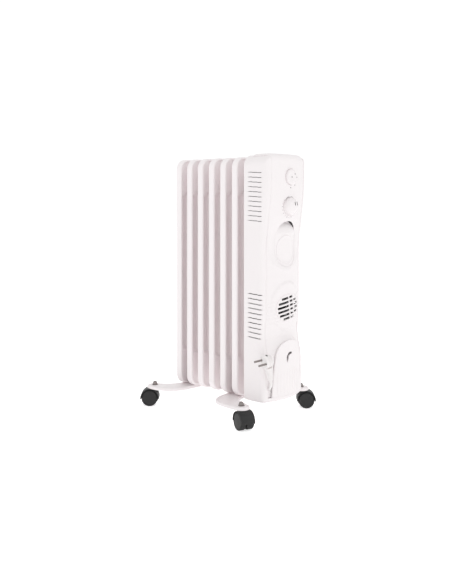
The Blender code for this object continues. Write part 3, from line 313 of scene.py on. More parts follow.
def turned(
    name: str, profile: Sequence[Flat], centre: Sequence[float], way: Sequence[float], sides: int = 48
) -> bpy.types.Object:
    """A closed piece turned about an axis.

    Args:
        name: The object's name.
        profile: (radius, distance along the axis) pairs; a radius of 0 closes an end.
        centre: The point that the distances are measured from.
        way: The axis's direction.
        sides: How many sides the turned piece has.

    Returns:
        The new object.
    """
    turn = Vector((0, 0, 1)).rotation_difference(Vector(way)).to_matrix().to_4x4()
    placed = Matrix.Translation(Vector(centre)) @ turn
    work = bmesh.new()
    rows = []
    for radius, along in profile:
        if radius < 1e-7:
            rows.append([work.verts.new(placed @ Vector((0, 0, along)))])
            continue
        ring = []
        for side in range(sides):
            angle = 2 * math.pi * side / sides
            point = Vector((radius * math.cos(angle), radius * math.sin(angle), along))
            ring.append(work.verts.new(placed @ point))
        rows.append(ring)
    for low, high in zip(rows, rows[1:]):
        for side in range(sides):
            after = (side + 1) % sides
            corners = [low[side % len(low)], low[after % len(low)], high[after % len(high)], high[side % len(high)]]
            unique = list(dict.fromkeys(corners))
            if len(unique) > 2:
                work.faces.new(unique)
    return mesh_object(name, work)


def tube(
    name: str, path: Sequence[Sequence[float]], radii: Callable[[float], float], sides: int = 20
) -> bpy.types.Object:
    """A round bar along a path, its radius a function of the share of the way along."""
    points = [Vector(point) for point in path]
    heading = (points[1] - points[0]).normalized()
    side = heading.orthogonal().normalized()
    rings = []
    for index, point in enumerate(points):
        ahead = points[min(index + 1, len(points) - 1)] - points[max(index - 1, 0)]
        heading = ahead.normalized()
        side = (side - heading * side.dot(heading)).normalized()
        other = heading.cross(side)
        radius = radii(index / (len(points) - 1))
        angles = [2 * math.pi * step / sides for step in range(sides)]
        rings.append([point + radius * (side * math.cos(a) + other * math.sin(a)) for a in angles])
    return loft(name, rings)


def rimmed(name: str, outline: Sequence[Flat], profile: Sequence[Flat], axis: Axis) -> bpy.types.Object:
    """A closed bar that follows a closed outline.

    Args:
        name: The object's name.
        outline: The outline, in the two directions across the axis.
        profile: The bar's section as (outward, along) pairs.
        axis: The direction that the outline faces.

    Returns:
        The new object.
    """
    count = len(outline)
    area = sum(a[0] * b[1] - b[0] * a[1] for a, b in zip(outline, list(outline[1:]) + [outline[0]]))
    rings = []
    for index in range(count):
        before, here, after = (Vector(outline[(index + step) % count]) for step in (-1, 0, 1))
        tangent = ((here - before).normalized() + (after - here).normalized()).normalized()
        normal = Vector((tangent.y, -tangent.x)) * (1 if area > 0 else -1)
        rings.append([laid(tuple(here + normal * out), along, axis) for out, along in profile])
    return loft(name, rings, round_trip=True, capped=False)


def applied(obj: bpy.types.Object) -> bpy.types.Object:
    """Bakes an object's modifiers into its mesh."""
    graph = bpy.context.evaluated_depsgraph_get()
    mesh = bpy.data.meshes.new_from_object(obj.evaluated_get(graph))
    obj.modifiers.clear()
    obj.data = mesh
    return obj


def drop(*objs: bpy.types.Object) -> None:
    """Removes helper objects."""
    for obj in objs:
        bpy.data.objects.remove(obj, do_unlink=True)


def boolean(obj: bpy.types.Object, other: bpy.types.Object, operation: str = "DIFFERENCE") -> bpy.types.Object:
    """Cuts, joins or intersects with another mesh, which is used up."""
    made = obj.modifiers.new(other.name, "BOOLEAN")
    made.operation = operation
    made.solver = "EXACT"
    made.object = other
    applied(obj)
    drop(other)
    return obj


def softened(obj: bpy.types.Object, width: float, segments: int = 2, angle: float = 38) -> bpy.types.Object:
    """Rounds the edges sharper than an angle."""
    made = obj.modifiers.new("Edge", "BEVEL")
    made.width = width
    made.segments = segments
    made.limit_method = "ANGLE"
    made.angle_limit = math.radians(angle)
    return applied(obj)


def merged(name: str, objs: Sequence[bpy.types.Object]) -> bpy.types.Object:
    """Puts several meshes into one object without joining their surfaces."""
    work = bmesh.new()
    for obj in objs:
        work.from_mesh(obj.data)
    drop(*objs)
    mesh = bpy.data.meshes.new(name)
    work.to_mesh(mesh)
    work.free()
    obj = bpy.data.objects.new(name, mesh)
    bpy.context.scene.collection.objects.link(obj)
    return obj


def repeat_group() -> bpy.types.NodeTree:
    """A Geometry Nodes group that repeats one mesh in even steps and turns."""
    group = bpy.data.node_groups.new("even_repeat", "GeometryNodeTree")
    new_socket(group, "Geometry", "NodeSocketGeometry")
    new_socket(group, "Count", "NodeSocketInt", 1)
    new_socket(group, "Step", "NodeSocketVector")
    new_socket(group, "Turn", "NodeSocketVector")
    new_socket(group, "Material", "NodeSocketMaterial")
    new_socket(group, "Geometry", "NodeSocketGeometry", output=True)
    nodes, links = group.nodes, group.links
    source, sink = nodes.new("NodeGroupInput"), nodes.new("NodeGroupOutput")
    line = nodes.new("GeometryNodeMeshLine")
    line.mode = "OFFSET"
    links.new(source.outputs["Count"], line.inputs["Count"])
    links.new(source.outputs["Step"], line.inputs["Offset"])
    spread = nodes.new("GeometryNodeInstanceOnPoints")
    links.new(line.outputs["Mesh"], spread.inputs["Points"])
    links.new(source.outputs["Geometry"], spread.inputs["Instance"])
    index = nodes.new("GeometryNodeInputIndex")
    turn = nodes.new("ShaderNodeVectorMath")
    turn.operation = "SCALE"
    links.new(source.outputs["Turn"], turn.inputs[0])
    links.new(index.outputs[0], turn.inputs["Scale"])
    links.new(turn.outputs["Vector"], spread.inputs["Rotation"])
    real = nodes.new("GeometryNodeRealizeInstances")
    links.new(spread.outputs["Instances"], real.inputs["Geometry"])
    dressed = nodes.new("GeometryNodeSetMaterial")
    links.new(real.outputs["Geometry"], dressed.inputs["Geometry"])
    links.new(source.outputs["Material"], dressed.inputs["Material"])
    links.new(dressed.outputs["Geometry"], sink.inputs["Geometry"])
    return group


class Repeater:
    """Repeats a mesh with the shared Geometry Nodes group."""

    def __init__(self, material: bpy.types.Material) -> None:
        self.group = repeat_group()
        self.material = material

    def __call__(
        self, obj: bpy.types.Object, count: int, step: Point = (0, 0, 0), turn: Point = (0, 0, 0),
        centre: Point = (0, 0, 0),
    ) -> bpy.types.Object:
        """Repeats obj, moved by step and turned about centre each time.

        Args:
            obj: The mesh to repeat; it becomes the whole row.
            count: How many there are.
            step: The move from one to the next.
            turn: The turn from one to the next, as Euler angles.
            centre: The point that the turns are about.

        Returns:
            The same object, as a plain mesh.
        """
        obj.data.transform(Matrix.Translation(-Vector(centre)))
        made = obj.modifiers.new("Repeat", "NODES")
        made.node_group = self.group
        values = {"Count": count, "Step": step, "Turn": turn, "Material": self.material}
        for item in self.group.interface.items_tree:
            if item.in_out == "INPUT" and item.name in values:
                made[item.identifier] = values[item.name]
        applied(obj)
        obj.data.transform(Matrix.Translation(Vector(centre)))
        return obj


class Shop:
    """Publishes finished pieces: moves them to the row frame, dresses them and hangs them on a body."""

    def __init__(self, palette: Palette) -> None:
        self.palette = palette
        self.repeat = Repeater(palette.made["white_plastic"])

    def publish(
        self, obj: bpy.types.Object, slot: str, body: str = "radiator", replaces: Iterable[str] = (),
        angle: float = 35, finish: str = "", shifted: bool = True,
    ) -> bpy.types.Object:
        """Finishes one piece.

        Args:
            obj: The piece, in the fit frame.
            slot: The record's material slot.
            body: The CAD body that it rides on.
            replaces: The CAD nodes that it stands for.
            angle: Edges sharper than this many degrees stay sharp.
            finish: The finish's name where it isn't the slot's.
            shifted: Whether the piece still has to be moved into the row frame.

        Returns:
            The same object.
        """
        if shifted:
            obj.data.transform(Matrix.Translation(SHIFT))
        obj.data.materials.clear()
        obj.data.materials.append(self.palette.made[finish or slot])
        obj.data.polygons.foreach_set("material_index", [0] * len(obj.data.polygons))
        obj.data.shade_smooth()
        obj.data.set_sharp_from_angle(angle=math.radians(angle))
        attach(obj, body)
        nodes = list(replaces)
        if nodes:
            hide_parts(*nodes)
        LOG.info("%s: %d faces on %s", obj.name, len(obj.data.polygons), body)
        return obj


def ease(value: float, start: float, end: float) -> float:
    """0 at the start, 1 at the end, smooth between."""
    share = min(max((value - start) / (end - start), 0.0), 1.0)
    return share * share * (3 - 2 * share)


# --- Studio --------------------------------------------------------------------------------------


@dataclass
class Studio:
    """Camera, pale floor, even sky and soft lamps."""

    camera: Point = (-1.3823, -1.2370, 0.518)
    look: Point = (0.746, 0.666, 0.0)
    lens: float = 45.14
    shift: Flat = (0.0004, -0.1567)
    sky: float = 0.895
    backdrop: float = 1.05  # the sky's strength where the camera sees it
    key_power: float = 4.6
    fill_share: float = 0.18
    floor_half: float = 9.0
    floor_drop: float = 0.0004
    floor_glow: Flat = (0.24, 0.62)  # for other rays, and for the camera's

    def build(self) -> None:
        """Sets up the whole studio."""
        scene = bpy.context.scene
        scene.view_settings.view_transform = "Standard"
        scene.cycles.max_bounces = 20
        scene.cycles.diffuse_bounces = 14
        data = bpy.data.cameras.new("studio_camera")
        data.lens, data.sensor_width, data.sensor_fit = self.lens, 36.0, "AUTO"
        data.shift_x, data.shift_y = self.shift
        data.clip_start, data.clip_end = 0.05, 30
        camera = bpy.data.objects.new("studio_camera", data)
        camera.location = Vector(self.camera) + SHIFT
        camera.rotation_mode = "QUATERNION"
        camera.rotation_quaternion = Vector(self.look).to_track_quat("-Z", "Y")
        scene.collection.objects.link(camera)
        scene.camera = camera
        world = bpy.data.worlds.new("studio_sky")
        world.use_nodes = True
        sky = world.node_tree.nodes["Background"]
        sky.inputs["Color"].default_value = (1, 1, 1, 1)
        sky.inputs["Strength"].default_value = self.sky
        self._backdrop_sky(world, sky)
        scene.world = world
        self._floor()
        self._lamp("key_lamp", (0.5, -2.9, 1.9), 2.0, self.key_power)
        self._lamp("fill_lamp", (-2.6, 0.6, 1.4), 2.2, self.key_power * self.fill_share)

    def _backdrop_sky(self, world: bpy.types.World, sky: bpy.types.Node) -> None:
        """Shows pure white behind the object while the light from the sky stays softer."""
        nodes, links = world.node_tree.nodes, world.node_tree.links
        seen = nodes.new("ShaderNodeBackground")
        seen.inputs["Color"].default_value = (1, 1, 1, 1)
        seen.inputs["Strength"].default_value = self.backdrop
        ray, mix = nodes.new("ShaderNodeLightPath"), nodes.new("ShaderNodeMixShader")
        links.new(ray.outputs["Is Camera Ray"], mix.inputs["Fac"])
        links.new(sky.outputs["Background"], mix.inputs[1])
        links.new(seen.outputs["Background"], mix.inputs[2])
        links.new(mix.outputs["Shader"], nodes["World Output"].inputs["Surface"])

    def _floor(self) -> None:
        """A wide pale floor under the castors, white where the camera sees it."""
        ends = (-self.floor_half, self.floor_half)
        floor = loft("studio_floor", [[(x, y, -self.floor_drop) for x in ends] for y in ends], loop=False)
        material = bpy.data.materials.new("studio_floor_finish")
        material.use_nodes = True
        shader = material.node_tree.nodes["Principled BSDF"]
        shader.inputs["Base Color"].default_value = (0.97, 0.97, 0.97, 1)
        shader.inputs["Roughness"].default_value = 0.85
        shader.inputs["Emission Color"].default_value = (1, 1, 1, 1)
        nodes, links = material.node_tree.nodes, material.node_tree.links
        ray, glow = nodes.new("ShaderNodeLightPath"), nodes.new("ShaderNodeMapRange")
        glow.inputs["To Min"].default_value = self.floor_glow[0]
        glow.inputs["To Max"].default_value = self.floor_glow[1]
        links.new(ray.outputs["Is Camera Ray"], glow.inputs["Value"])
        links.new(glow.outputs["Result"], shader.inputs["Emission Strength"])
        floor.data.materials.append(material)

    def _lamp(self, name: str, place: Point, size: float, power: float) -> None:
        """A large soft lamp that looks at the heater's middle."""
        data = bpy.data.lights.new(name, "AREA")
        data.shape, data.size, data.energy = "DISK", size, power
        lamp = bpy.data.objects.new(name, data)
        lamp.location = place
        lamp.rotation_mode = "QUATERNION"
        lamp.rotation_quaternion = (Vector((0, 0, 0.3)) - Vector(place)).to_track_quat("-Z", "Y")
        bpy.context.scene.collection.objects.link(lamp)


# --- Oil vessel ----------------------------------------------------------------------------------


@dataclass
class Fins:
    """Seven pressed fins, each a folded rim, an embossed web and four bosses."""

    count: int = 7
    width: float = 0.145
    low: float = 0.0515
    high: float = 0.622
    corner: float = 0.026
    rim_depth: float = 0.0175
    rim_wall: float = 0.0022
    header_height: float = 0.092
    header_half: float = 0.0062
    web_half: float = 0.0011
    channel_x: float = 0.034
    channel_half_width: float = 0.0135
    channel_half_depth: float = 0.0066
    columns: int = 58
    rows: int = 150

    def build(self, shop: Shop) -> None:
        """Publishes each fin in place of its CAD node."""
        for number in range(1, self.count + 1):
            y = (self.count / 2 - number) * FIN_PITCH
            fin = merged(f"fin_{number}", [self._rim(y), self._web(y), *self._bosses(y)])
            shop.publish(fin, "white_paint", replaces=[f"oil_fin_{number}"], angle=40)

    def _rim(self, y: float) -> bpy.types.Object:
        """The folded steel edge, with its lips turned in."""
        outline = rounded((-self.width / 2, self.low), (self.width / 2, self.high), self.corner, 14)
        half, round_off = self.rim_depth / 2, 0.0040
        profile = []
        for turn in (math.radians(22.5 * step) for step in range(5)):
            profile.append((-round_off * (1 - math.sin(turn)), y - half + round_off * (1 - math.cos(turn))))
        profile += [(out, 2 * y - along) for out, along in reversed(profile)]
        inner = -round_off - 0.0012
        profile += [(inner, y + half), (inner, y + half - 0.0010), (-self.rim_wall, y + half - 0.0014)]
        profile += [(-self.rim_wall, y - half + 0.0014), (inner, y - half + 0.0010), (inner, y - half)]
        return rimmed("rim", outline, profile, Axis.Y)

    def _thickness(self, x: float, z: float) -> float:
        """Half the pressing's thickness at a place on the web."""
        arch = 0.012 * (1 - (x / 0.062) ** 2)
        low = self.low + self.header_height - arch
        high = self.high - self.header_height + arch
        header = max(1 - ease(z, low - 0.005, low + 0.006), ease(z, high - 0.006, high + 0.005))
        across = abs(abs(x) - self.channel_x) / self.channel_half_width
        channel = (1 - ease(across, 0.45, 1.0)) * (self.channel_half_depth - self.web_half)
        seam = 0.0012 * (1 - ease(abs(x), 0.002, 0.007))
        border = 1 - ease(abs(x), self.width / 2 - 0.010, self.width / 2 - 0.004)
        swell = self.web_half + channel + seam
        return swell + (self.header_half - swell) * header * (0.35 + 0.65 * border)

    def _web(self, y: float) -> bpy.types.Object:
        """Both faces of the pressed sheet, from one rim to the other."""
        edge = self.rim_wall * 0.6
        half, low, high = self.width / 2 - edge, self.low + edge, self.high - edge
        radius = self.corner - edge
        faces = []
        for side in (-1, 1):
            rings = []
            for row in range(self.rows + 1):
                z = low + (high - low) * row / self.rows
                into = max(low + radius - z, z - (high - radius), 0.0)
                reach = half - (radius - math.sqrt(max(radius ** 2 - into ** 2, 0)))
                rings.append([
                    (x, y + side * self._thickness(x, z), z)
                    for x in (reach * (2 * column / self.columns - 1) for column in range(self.columns + 1))
                ])
            faces.append(loft("web", rings, loop=False))
        return merged("web", faces)

    def _bosses(self, y: float) -> list[bpy.types.Object]:
        """The conical necks that join a fin to its neighbours, two on each side."""
        made = []
        for z in (self.low + 0.046, self.high - 0.046):
            for side in (-1, 1):
                face = FIN_PITCH / 2 - 0.00015
                profile = [(0.0335, 0.0055), (0.0315, 0.0062), (0.0290, 0.0078), (0.0225, 0.0160), (0.0210, 0.0176),
                           (0.0195, face), (0.0140, face), (0.0135, face - 0.0008), (0.0135, 0.0050)]
                made.append(turned("boss", profile, (0, y, z), (0, side, 0), 40))
        return made


# --- Housing -------------------------------------------------------------------------------------


@dataclass
class Front:
    """The bowed front surface that the housing, the fascia and the grille share."""

    half: float = 0.063
    panel_fade: Flat = (0.390, 0.570)
    sill_fade: Flat = (0.205, 0.270)
    base_fade: Flat = (0.140, 0.200)

    def y(self, x: float, z: float) -> float:
        """Depth of the smooth front at a width and a height."""
        panel = ease(z, *self.panel_fade)
        base = 1 - ease(z, *self.base_fade)
        depth = 0.0667 + (0.0752 - 0.0667) * base + (0.0702 - 0.0667) * ease(z, *self.sill_fade)
        depth += (0.0800 - 0.0702) * panel
        bow = 0.0150 + (0.0090 - 0.0150) * panel + (0.0140 - 0.0150) * base
        return BACK - depth + bow * (x / self.half) ** 2


FRONT = Front()


def store_outline(margin: float, low: float) -> list[Flat]:
    """The arched outline of the cord store, grown by a margin and smoothed."""
    shape = ((0.0, 0.1910), (0.0140, 0.1895), (0.0270, 0.1840), (0.0365, 0.1755), (0.0425, 0.1640),
             (0.0455, 0.1500), (0.0490, 0.1250), (0.0520, 0.1000), (0.0545, low))
    side = []
    for index in range(len(shape) - 1):
        for step in range(4):
            ends = [Vector(shape[min(max(index + k, 0), len(shape) - 1)]) for k in (-1, 0, 1, 2)]
            if index == 0:
                ends[0] = Vector((-shape[1][0], shape[1][1]))
            t = step / 4
            point = 0.5 * (2 * ends[1] + (ends[2] - ends[0]) * t
                           + (2 * ends[0] - 5 * ends[1] + 4 * ends[2] - ends[3]) * t * t
                           + (3 * ends[1] - ends[0] - 3 * ends[2] + ends[3]) * t ** 3)
            side.append((point.x, point.y))
    side.append(shape[-1])
    grown = []
    for x, z in side:
        away = Vector((x, z - 0.145)).normalized() * margin if z > 0.145 else Vector((margin, 0))
        grown.append((x + away.x if x > 1e-6 else 0.0, z + away.y if x > 1e-6 else z + margin))
    return [(-x, z) for x, z in reversed(grown[1:])] + grown


@dataclass
class Housing:
    """The two-sided shell behind the fascia, with its louvres and its open lower front."""

    half: float = 0.075
    low: float = 0.052
    top: float = 0.6245
    wall: float = 0.002
    top_round: float = 0.014
    shoulder: float = 0.026
    corner_run: float = 0.014
    seat: float = 0.003
    sill: float = 0.0630
    louvre_pitch: float = 0.0112
    louvre_length: float = 0.040
    louvre_setback: float = 0.012
    louvre_depth: float = 0.005
    louvre_rows: tuple[tuple[float, int, float], ...] = ((0.471, 11, 0.0014), (0.200, 10, 0.0020))

    def build(self, shop: Shop) -> None:
        """Publishes the shell."""
        shell = boolean(self._skin("housing", 0.0, BACK), self._shoulders(0.0), "INTERSECT")
        inside = boolean(self._skin("inside", self.wall, BACK + 0.05), self._shoulders(self.wall), "INTERSECT")
        boolean(shell, inside)
        window = rounded((-0.056, 0.215), (0.056, 0.600), 0.010)
        boolean(shell, prism("window", window, BACK - 0.15, BACK - 0.045, Axis.Y))
        boolean(shell, prism("mouth", store_outline(0.0085, self.sill), BACK - 0.15, BACK - 0.045, Axis.Y))
        boolean(shell, block("under_fin", (-0.0735, -0.1350, 0.03), (0.0735, BACK + 0.03, self.low + 0.004)))
        for start, count, high in self.louvre_rows:
            for side in (-1, 1):
                boolean(shell, self._louvres(shop, start, count, side, high))
        shop.publish(shell, "white_plastic", replaces=["housing_shell"], angle=32)
        self._back_lip(shop)

    def _skin(self, name: str, wall: float, back: float) -> bpy.types.Object:
        """The outside of the shell, or its inside where wall isn't 0."""
        centre = self.top - self.top_round
        start = self.low + 0.010 + wall
        levels = [(self.low + wall + 0.010 * (step / 8) ** 1.6, 0.0) for step in range(8)]
        levels += [(start + (centre - start) * step / 64, 0.0) for step in range(65)]
        turns = [math.radians(90 * step / 8) for step in range(1, 9)]
        reach = self.top_round - wall
        levels += [(centre + reach * math.sin(t), reach * (1 - math.cos(t))) for t in turns]
        rings = []
        for z, setback in levels:
            under = min(max((self.low + 0.009 - z) / 0.009, 0.0), 1.0)
            tuck = 0.0060 * (1 - math.sqrt(1 - under ** 2))
            edge = FRONT.y(FRONT.half, z) + wall + setback + tuck
            half = [(self.half - wall - 0.6 * tuck, back)]
            for step in range(11):
                turn = math.radians(9 * step)
                half.append((FRONT.half + (self.half - FRONT.half) * math.cos(turn) - wall - 0.6 * tuck,
                             edge + self.corner_run * (1 - math.sin(turn))))
            seat = self.seat * ease(z, self.sill, self.sill + 0.002)
            for share in (0.995, 0.8, 0.6, 0.4, 0.2):
                x = FRONT.half * share - wall
                half.append((x, FRONT.y(x, z) + seat + wall + setback + tuck))
            middle = [(0.0, FRONT.y(0, z) + seat + wall + setback + tuck)]
            rings.append([(x, y, z) for x, y in half + middle + [(-x, y) for x, y in reversed(half)]])
        return loft(name, rings)

    def _shoulders(self, inset: float) -> bpy.types.Object:
        """A prism whose top corners have the shell's radius."""
        half, top = self.half - inset, self.top - inset
        left = -half if inset else -half - 0.0001
        outline = rounded((left, self.low - 0.1), (half + 0.0001, top), self.shoulder - inset, 12)
        return prism("shoulders", outline, BACK - 0.2, BACK + 0.1, Axis.Y)

    def _louvres(self, shop: Shop, start: float, count: int, side: int, high: float) -> bpy.types.Object:
        """One column of slots, each a thin bar that steps down in the middle.

        Args:
            shop: Whose repeater makes the row.
            start: Height of the lowest slot.
            count: How many slots there are.
            side: -1 for the left side, 1 for the right one.
            high: A slot's height.

        Returns:
            The cutter.
        """
        front = BACK - self.louvre_setback - self.louvre_length
        spine = ((0.0, -0.0010), (0.010, -0.0010), (0.014, 0.0), (0.026, 0.0), (0.030, 0.0009),
                 (self.louvre_length, 0.0009))
        low = [(front + along, start + up - high / 2) for along, up in spine]
        outline = low + [(y, z + high) for y, z in reversed(low)]
        near, far = sorted((side * (self.half - self.louvre_depth), side * (self.half + 0.006)))
        return shop.repeat(prism("louvre", outline, near, far, Axis.X), count, (0, 0, self.louvre_pitch))

    def _back_lip(self, shop: Shop) -> None:
        """The thickened edge that the shell turns towards the last fin."""
        outline = rounded((-self.half, self.low), (self.half, self.top), self.shoulder, 12)
        path = [(x * 0.989, BACK + 0.0002, z - (0.0009 if z > 0.55 else 0)) for x, z in outline if z > 0.09]
        lip = tube("housing_back_lip", path, lambda share: 0.0009, 10)
        shop.publish(lip, "white_plastic")


@dataclass
class Relief:
    """The soft shapes pressed into the fascia round the grip, the fan and the belly."""

    bowl_half: float = 0.0575
    boss_half: float = 0.0520
    row_pitch: float = 0.0095
    row_slope: float = 0.149

    def pill(self, x: float, z: float, half: float, low: float, high: float) -> float:
        """Signed distance outside a round-ended upright outline."""
        middle = min(max(z, low + half), high - half)
        return math.hypot(x, z - middle) - half

    def depth(self, x: float, z: float) -> float:
        """How far the front is set back from its smooth surface."""
        bowl = self.pill(x + 0.0025, z, self.bowl_half, 0.3555, 0.520)
        fade = 1 - ease(z, 0.440, 0.486)
        dish = 0.0046 * (1 - ease(bowl, -0.020, -0.0005)) * fade
        rim = -0.0010 * math.exp(-((bowl - 0.0010) / 0.0016) ** 2) * fade
        arch = self.pill(x, z, self.boss_half, OUTLET_Z - 0.054, OUTLET_Z + 0.062)
        boss = -0.0030 * (1 - ease(arch, -0.0045, 0.0008))
        ring = math.hypot(x / OUTLET_STRETCH, z - OUTLET_Z)
        collar = -0.0007 * math.exp(-((ring - 0.0345) / 0.0016) ** 2)
        return dish + rim + boss + collar + self._ridges(x, z, ring)

    def _ridges(self, x: float, z: float, ring: float) -> float:
        """Shallow grooves that carry the fan's slot rows on to the left and the right."""
        tilted = z - OUTLET_Z - x * self.row_slope
        row = tilted / self.row_pitch + 0.5
        near = abs(row - round(row)) * self.row_pitch
        inside = abs(tilted) < 0.0315
        strength = ease(ring, 0.0345, 0.0370) * (1 - ease(abs(x), 0.0570, 0.0610))
        return 0.0013 * math.exp(-(near / 0.0013) ** 2) * strength if inside else 0.0

    def belly(self, x: float, z: float) -> float:
        """The crease where the belly turns back above the cord store."""
        crease = 0.209 + 0.013 * x / 0.063
        return 0.0016 * (1 - ease(z, crease - 0.0012, crease + 0.0028)) * ease(z, crease - 0.030, crease - 0.002)


@dataclass
class Fascia:
    """The bowed front panel, turned back over the top as a raised strip."""

    half: float = 0.0627
    low: float = 0.106
    wall: float = 0.0025
    top_round: float = 0.017
    crown: float = 0.017  # the strip's end in front of the housing's back edge
    top: float = 0.6275
    shoulder: float = 0.029
    relief: Relief = field(default_factory=Relief)
    knobs: tuple[Flat, ...] = ((0.573, 0.0185), (0.504, 0.022))
    columns: int = 70
    rows: int = 230

    def surface(self, x: float, z: float) -> float:
        """Depth of the sculpted front."""
        edge = max(0.0, (abs(x) - (self.half - 0.002)) / 0.002)
        rounding = 0.0013 * (1 - math.sqrt(max(1 - min(edge, 1) ** 2, 0)))
        return FRONT.y(x, z) + self.relief.depth(x, z) + self.relief.belly(x, z) + rounding

    def build(self, shop: Shop) -> None:
        """Publishes the fascia, its seams and the dial prints."""
        panel = self._sheet("fascia_panel")
        thick = panel.modifiers.new("Wall", "SOLIDIFY")
        thick.thickness, thick.offset = self.wall, -1.0
        applied(panel)
        far, near = BACK - 0.12, BACK - 0.045
        boolean(panel, prism("mouth", store_outline(0.0085, 0.040), far, near, Axis.Y))
        boolean(panel, prism("grip_mouth", self._grip_mouth(), far, near, Axis.Y))
        outlet = []
        for turn in (math.tau * side / 72 for side in range(72)):
            outlet.append((0.0396 * math.cos(turn), OUTLET_Z + 0.0317 * math.sin(turn)))
        boolean(panel, prism("grille_hole", outlet, far, near, Axis.Y))
        for z, radius in self.knobs:
            hole = [(0, -0.03), (radius + 0.0012, -0.03), (radius + 0.0012, 0.0019), (0, 0.0019)]
            boolean(panel, turned("knob_seat", hole, (-0.0005, FRONT.y(0, z), z + 0.0006), (0, 1, 0), 64))
        shop.publish(panel, "white_plastic", replaces=["front_fascia"], angle=38)
        self._lips(shop)
        self._prints(shop)

    def _grip_mouth(self) -> list[Flat]:
        """The outline that the grip shows through."""
        gap = 0.0003
        return rounded((-GRIP_HALF - gap, GRIP_LOW - gap), (GRIP_HALF + gap, GRIP_HIGH + gap), 0.0365, 16)

    def _sheet(self, name: str) -> bpy.types.Object:
        """The outside surface, column by column, up the front, round the top and back along the crown."""
        columns = []
        flat_half = 0.078 - self.shoulder
        for column in range(self.columns + 1):
            x = self.half * (2 * column / self.columns - 1)
            over = max(0.0, abs(x) - flat_half)
            top = self.top - (self.shoulder - math.sqrt(self.shoulder ** 2 - over ** 2))
            centre = top - self.top_round
            path = []
            for row in range(self.rows + 1):
                z = self.low + (centre - self.low) * row / self.rows
                path.append((x, self.surface(x, z), z))
            for step in range(1, 11):
                turn = math.radians(9 * step)
                z = centre + self.top_round * math.sin(turn)
                path.append((x, self.surface(x, z) + self.top_round * (1 - math.cos(turn)), z))
            start, end = path[-1][1], BACK - self.crown
            edge = max(0.0, (abs(x) - (self.half - 0.002)) / 0.002)
            fall = 0.0010 * (1 - math.sqrt(max(1 - min(edge, 1) ** 2, 0)))
            path[-1] = (x, start, top - fall)
            for step in range(1, 13):
                share = step / 12
                drop_end = 0.0014 * ease(share, 0.90, 1.0)
                path.append((x, start + (end - start) * share, top - fall - drop_end))
            columns.append(path)
        return loft(name, columns, loop=False)

    def _lips(self, shop: Shop) -> None:
        """Rounded lips round the finger pocket and the cord store."""
        store = [point for point in store_outline(0.0085, 0.106) if abs(point[0]) < 0.0600]
        arch = [point for point in self._grip_mouth() if point[1] > 0.438]
        for name, outline in (("grip_lip", sorted(arch)), ("store_lip", store)):
            path = [(x, self.surface(x, z) + 0.0008, z) for x, z in outline]
            shop.publish(tube(name, path, lambda share: 0.0009, 10), "white_plastic")

    def _prints(self, shop: Shop) -> None:
        """Generic dial prints: dots round the selector, a dashed arc under the thermostat."""
        marks = []
        for angle, radius in ((0, 0.0256), (-48, 0.0250), (-90, 0.0250)):
            marks.append(self._pad(0.573, radius, angle, 0.0014, 0.0014))
        for step in range(15):
            angle = -215 + 250 * step / 14
            long = 0.0016 if step % 2 == 0 else 0.0009
            marks.append(self._pad(0.504, 0.0262, angle, long, 0.0005))
        shop.publish(merged("dial_prints", marks), "black_plastic", finish="print_grey")

    def _pad(self, centre: float, radius: float, angle: float, long: float, wide: float) -> bpy.types.Object:
        """One printed mark, a thin raised pad that points at the knob's middle."""
        turn = math.radians(angle)
        out, across = Vector((math.cos(turn), math.sin(turn))), Vector((-math.sin(turn), math.cos(turn)))
        middle = out * radius
        shares = ((1, 0.6), (0.6, 1), (-0.6, 1), (-1, 0.6), (-1, -0.6), (-0.6, -1), (0.6, -1), (1, -0.6))
        corners = [middle + out * long * a + across * wide * b for a, b in shares]
        rings = []
        for depth in (-0.00012, 0.0004):
            rings.append([(c.x, self.surface(c.x, centre + c.y) + depth, centre + c.y) for c in corners])
        return loft("pad", rings)


# --- Controls, grip and fan ----------------------------------------------------------------------


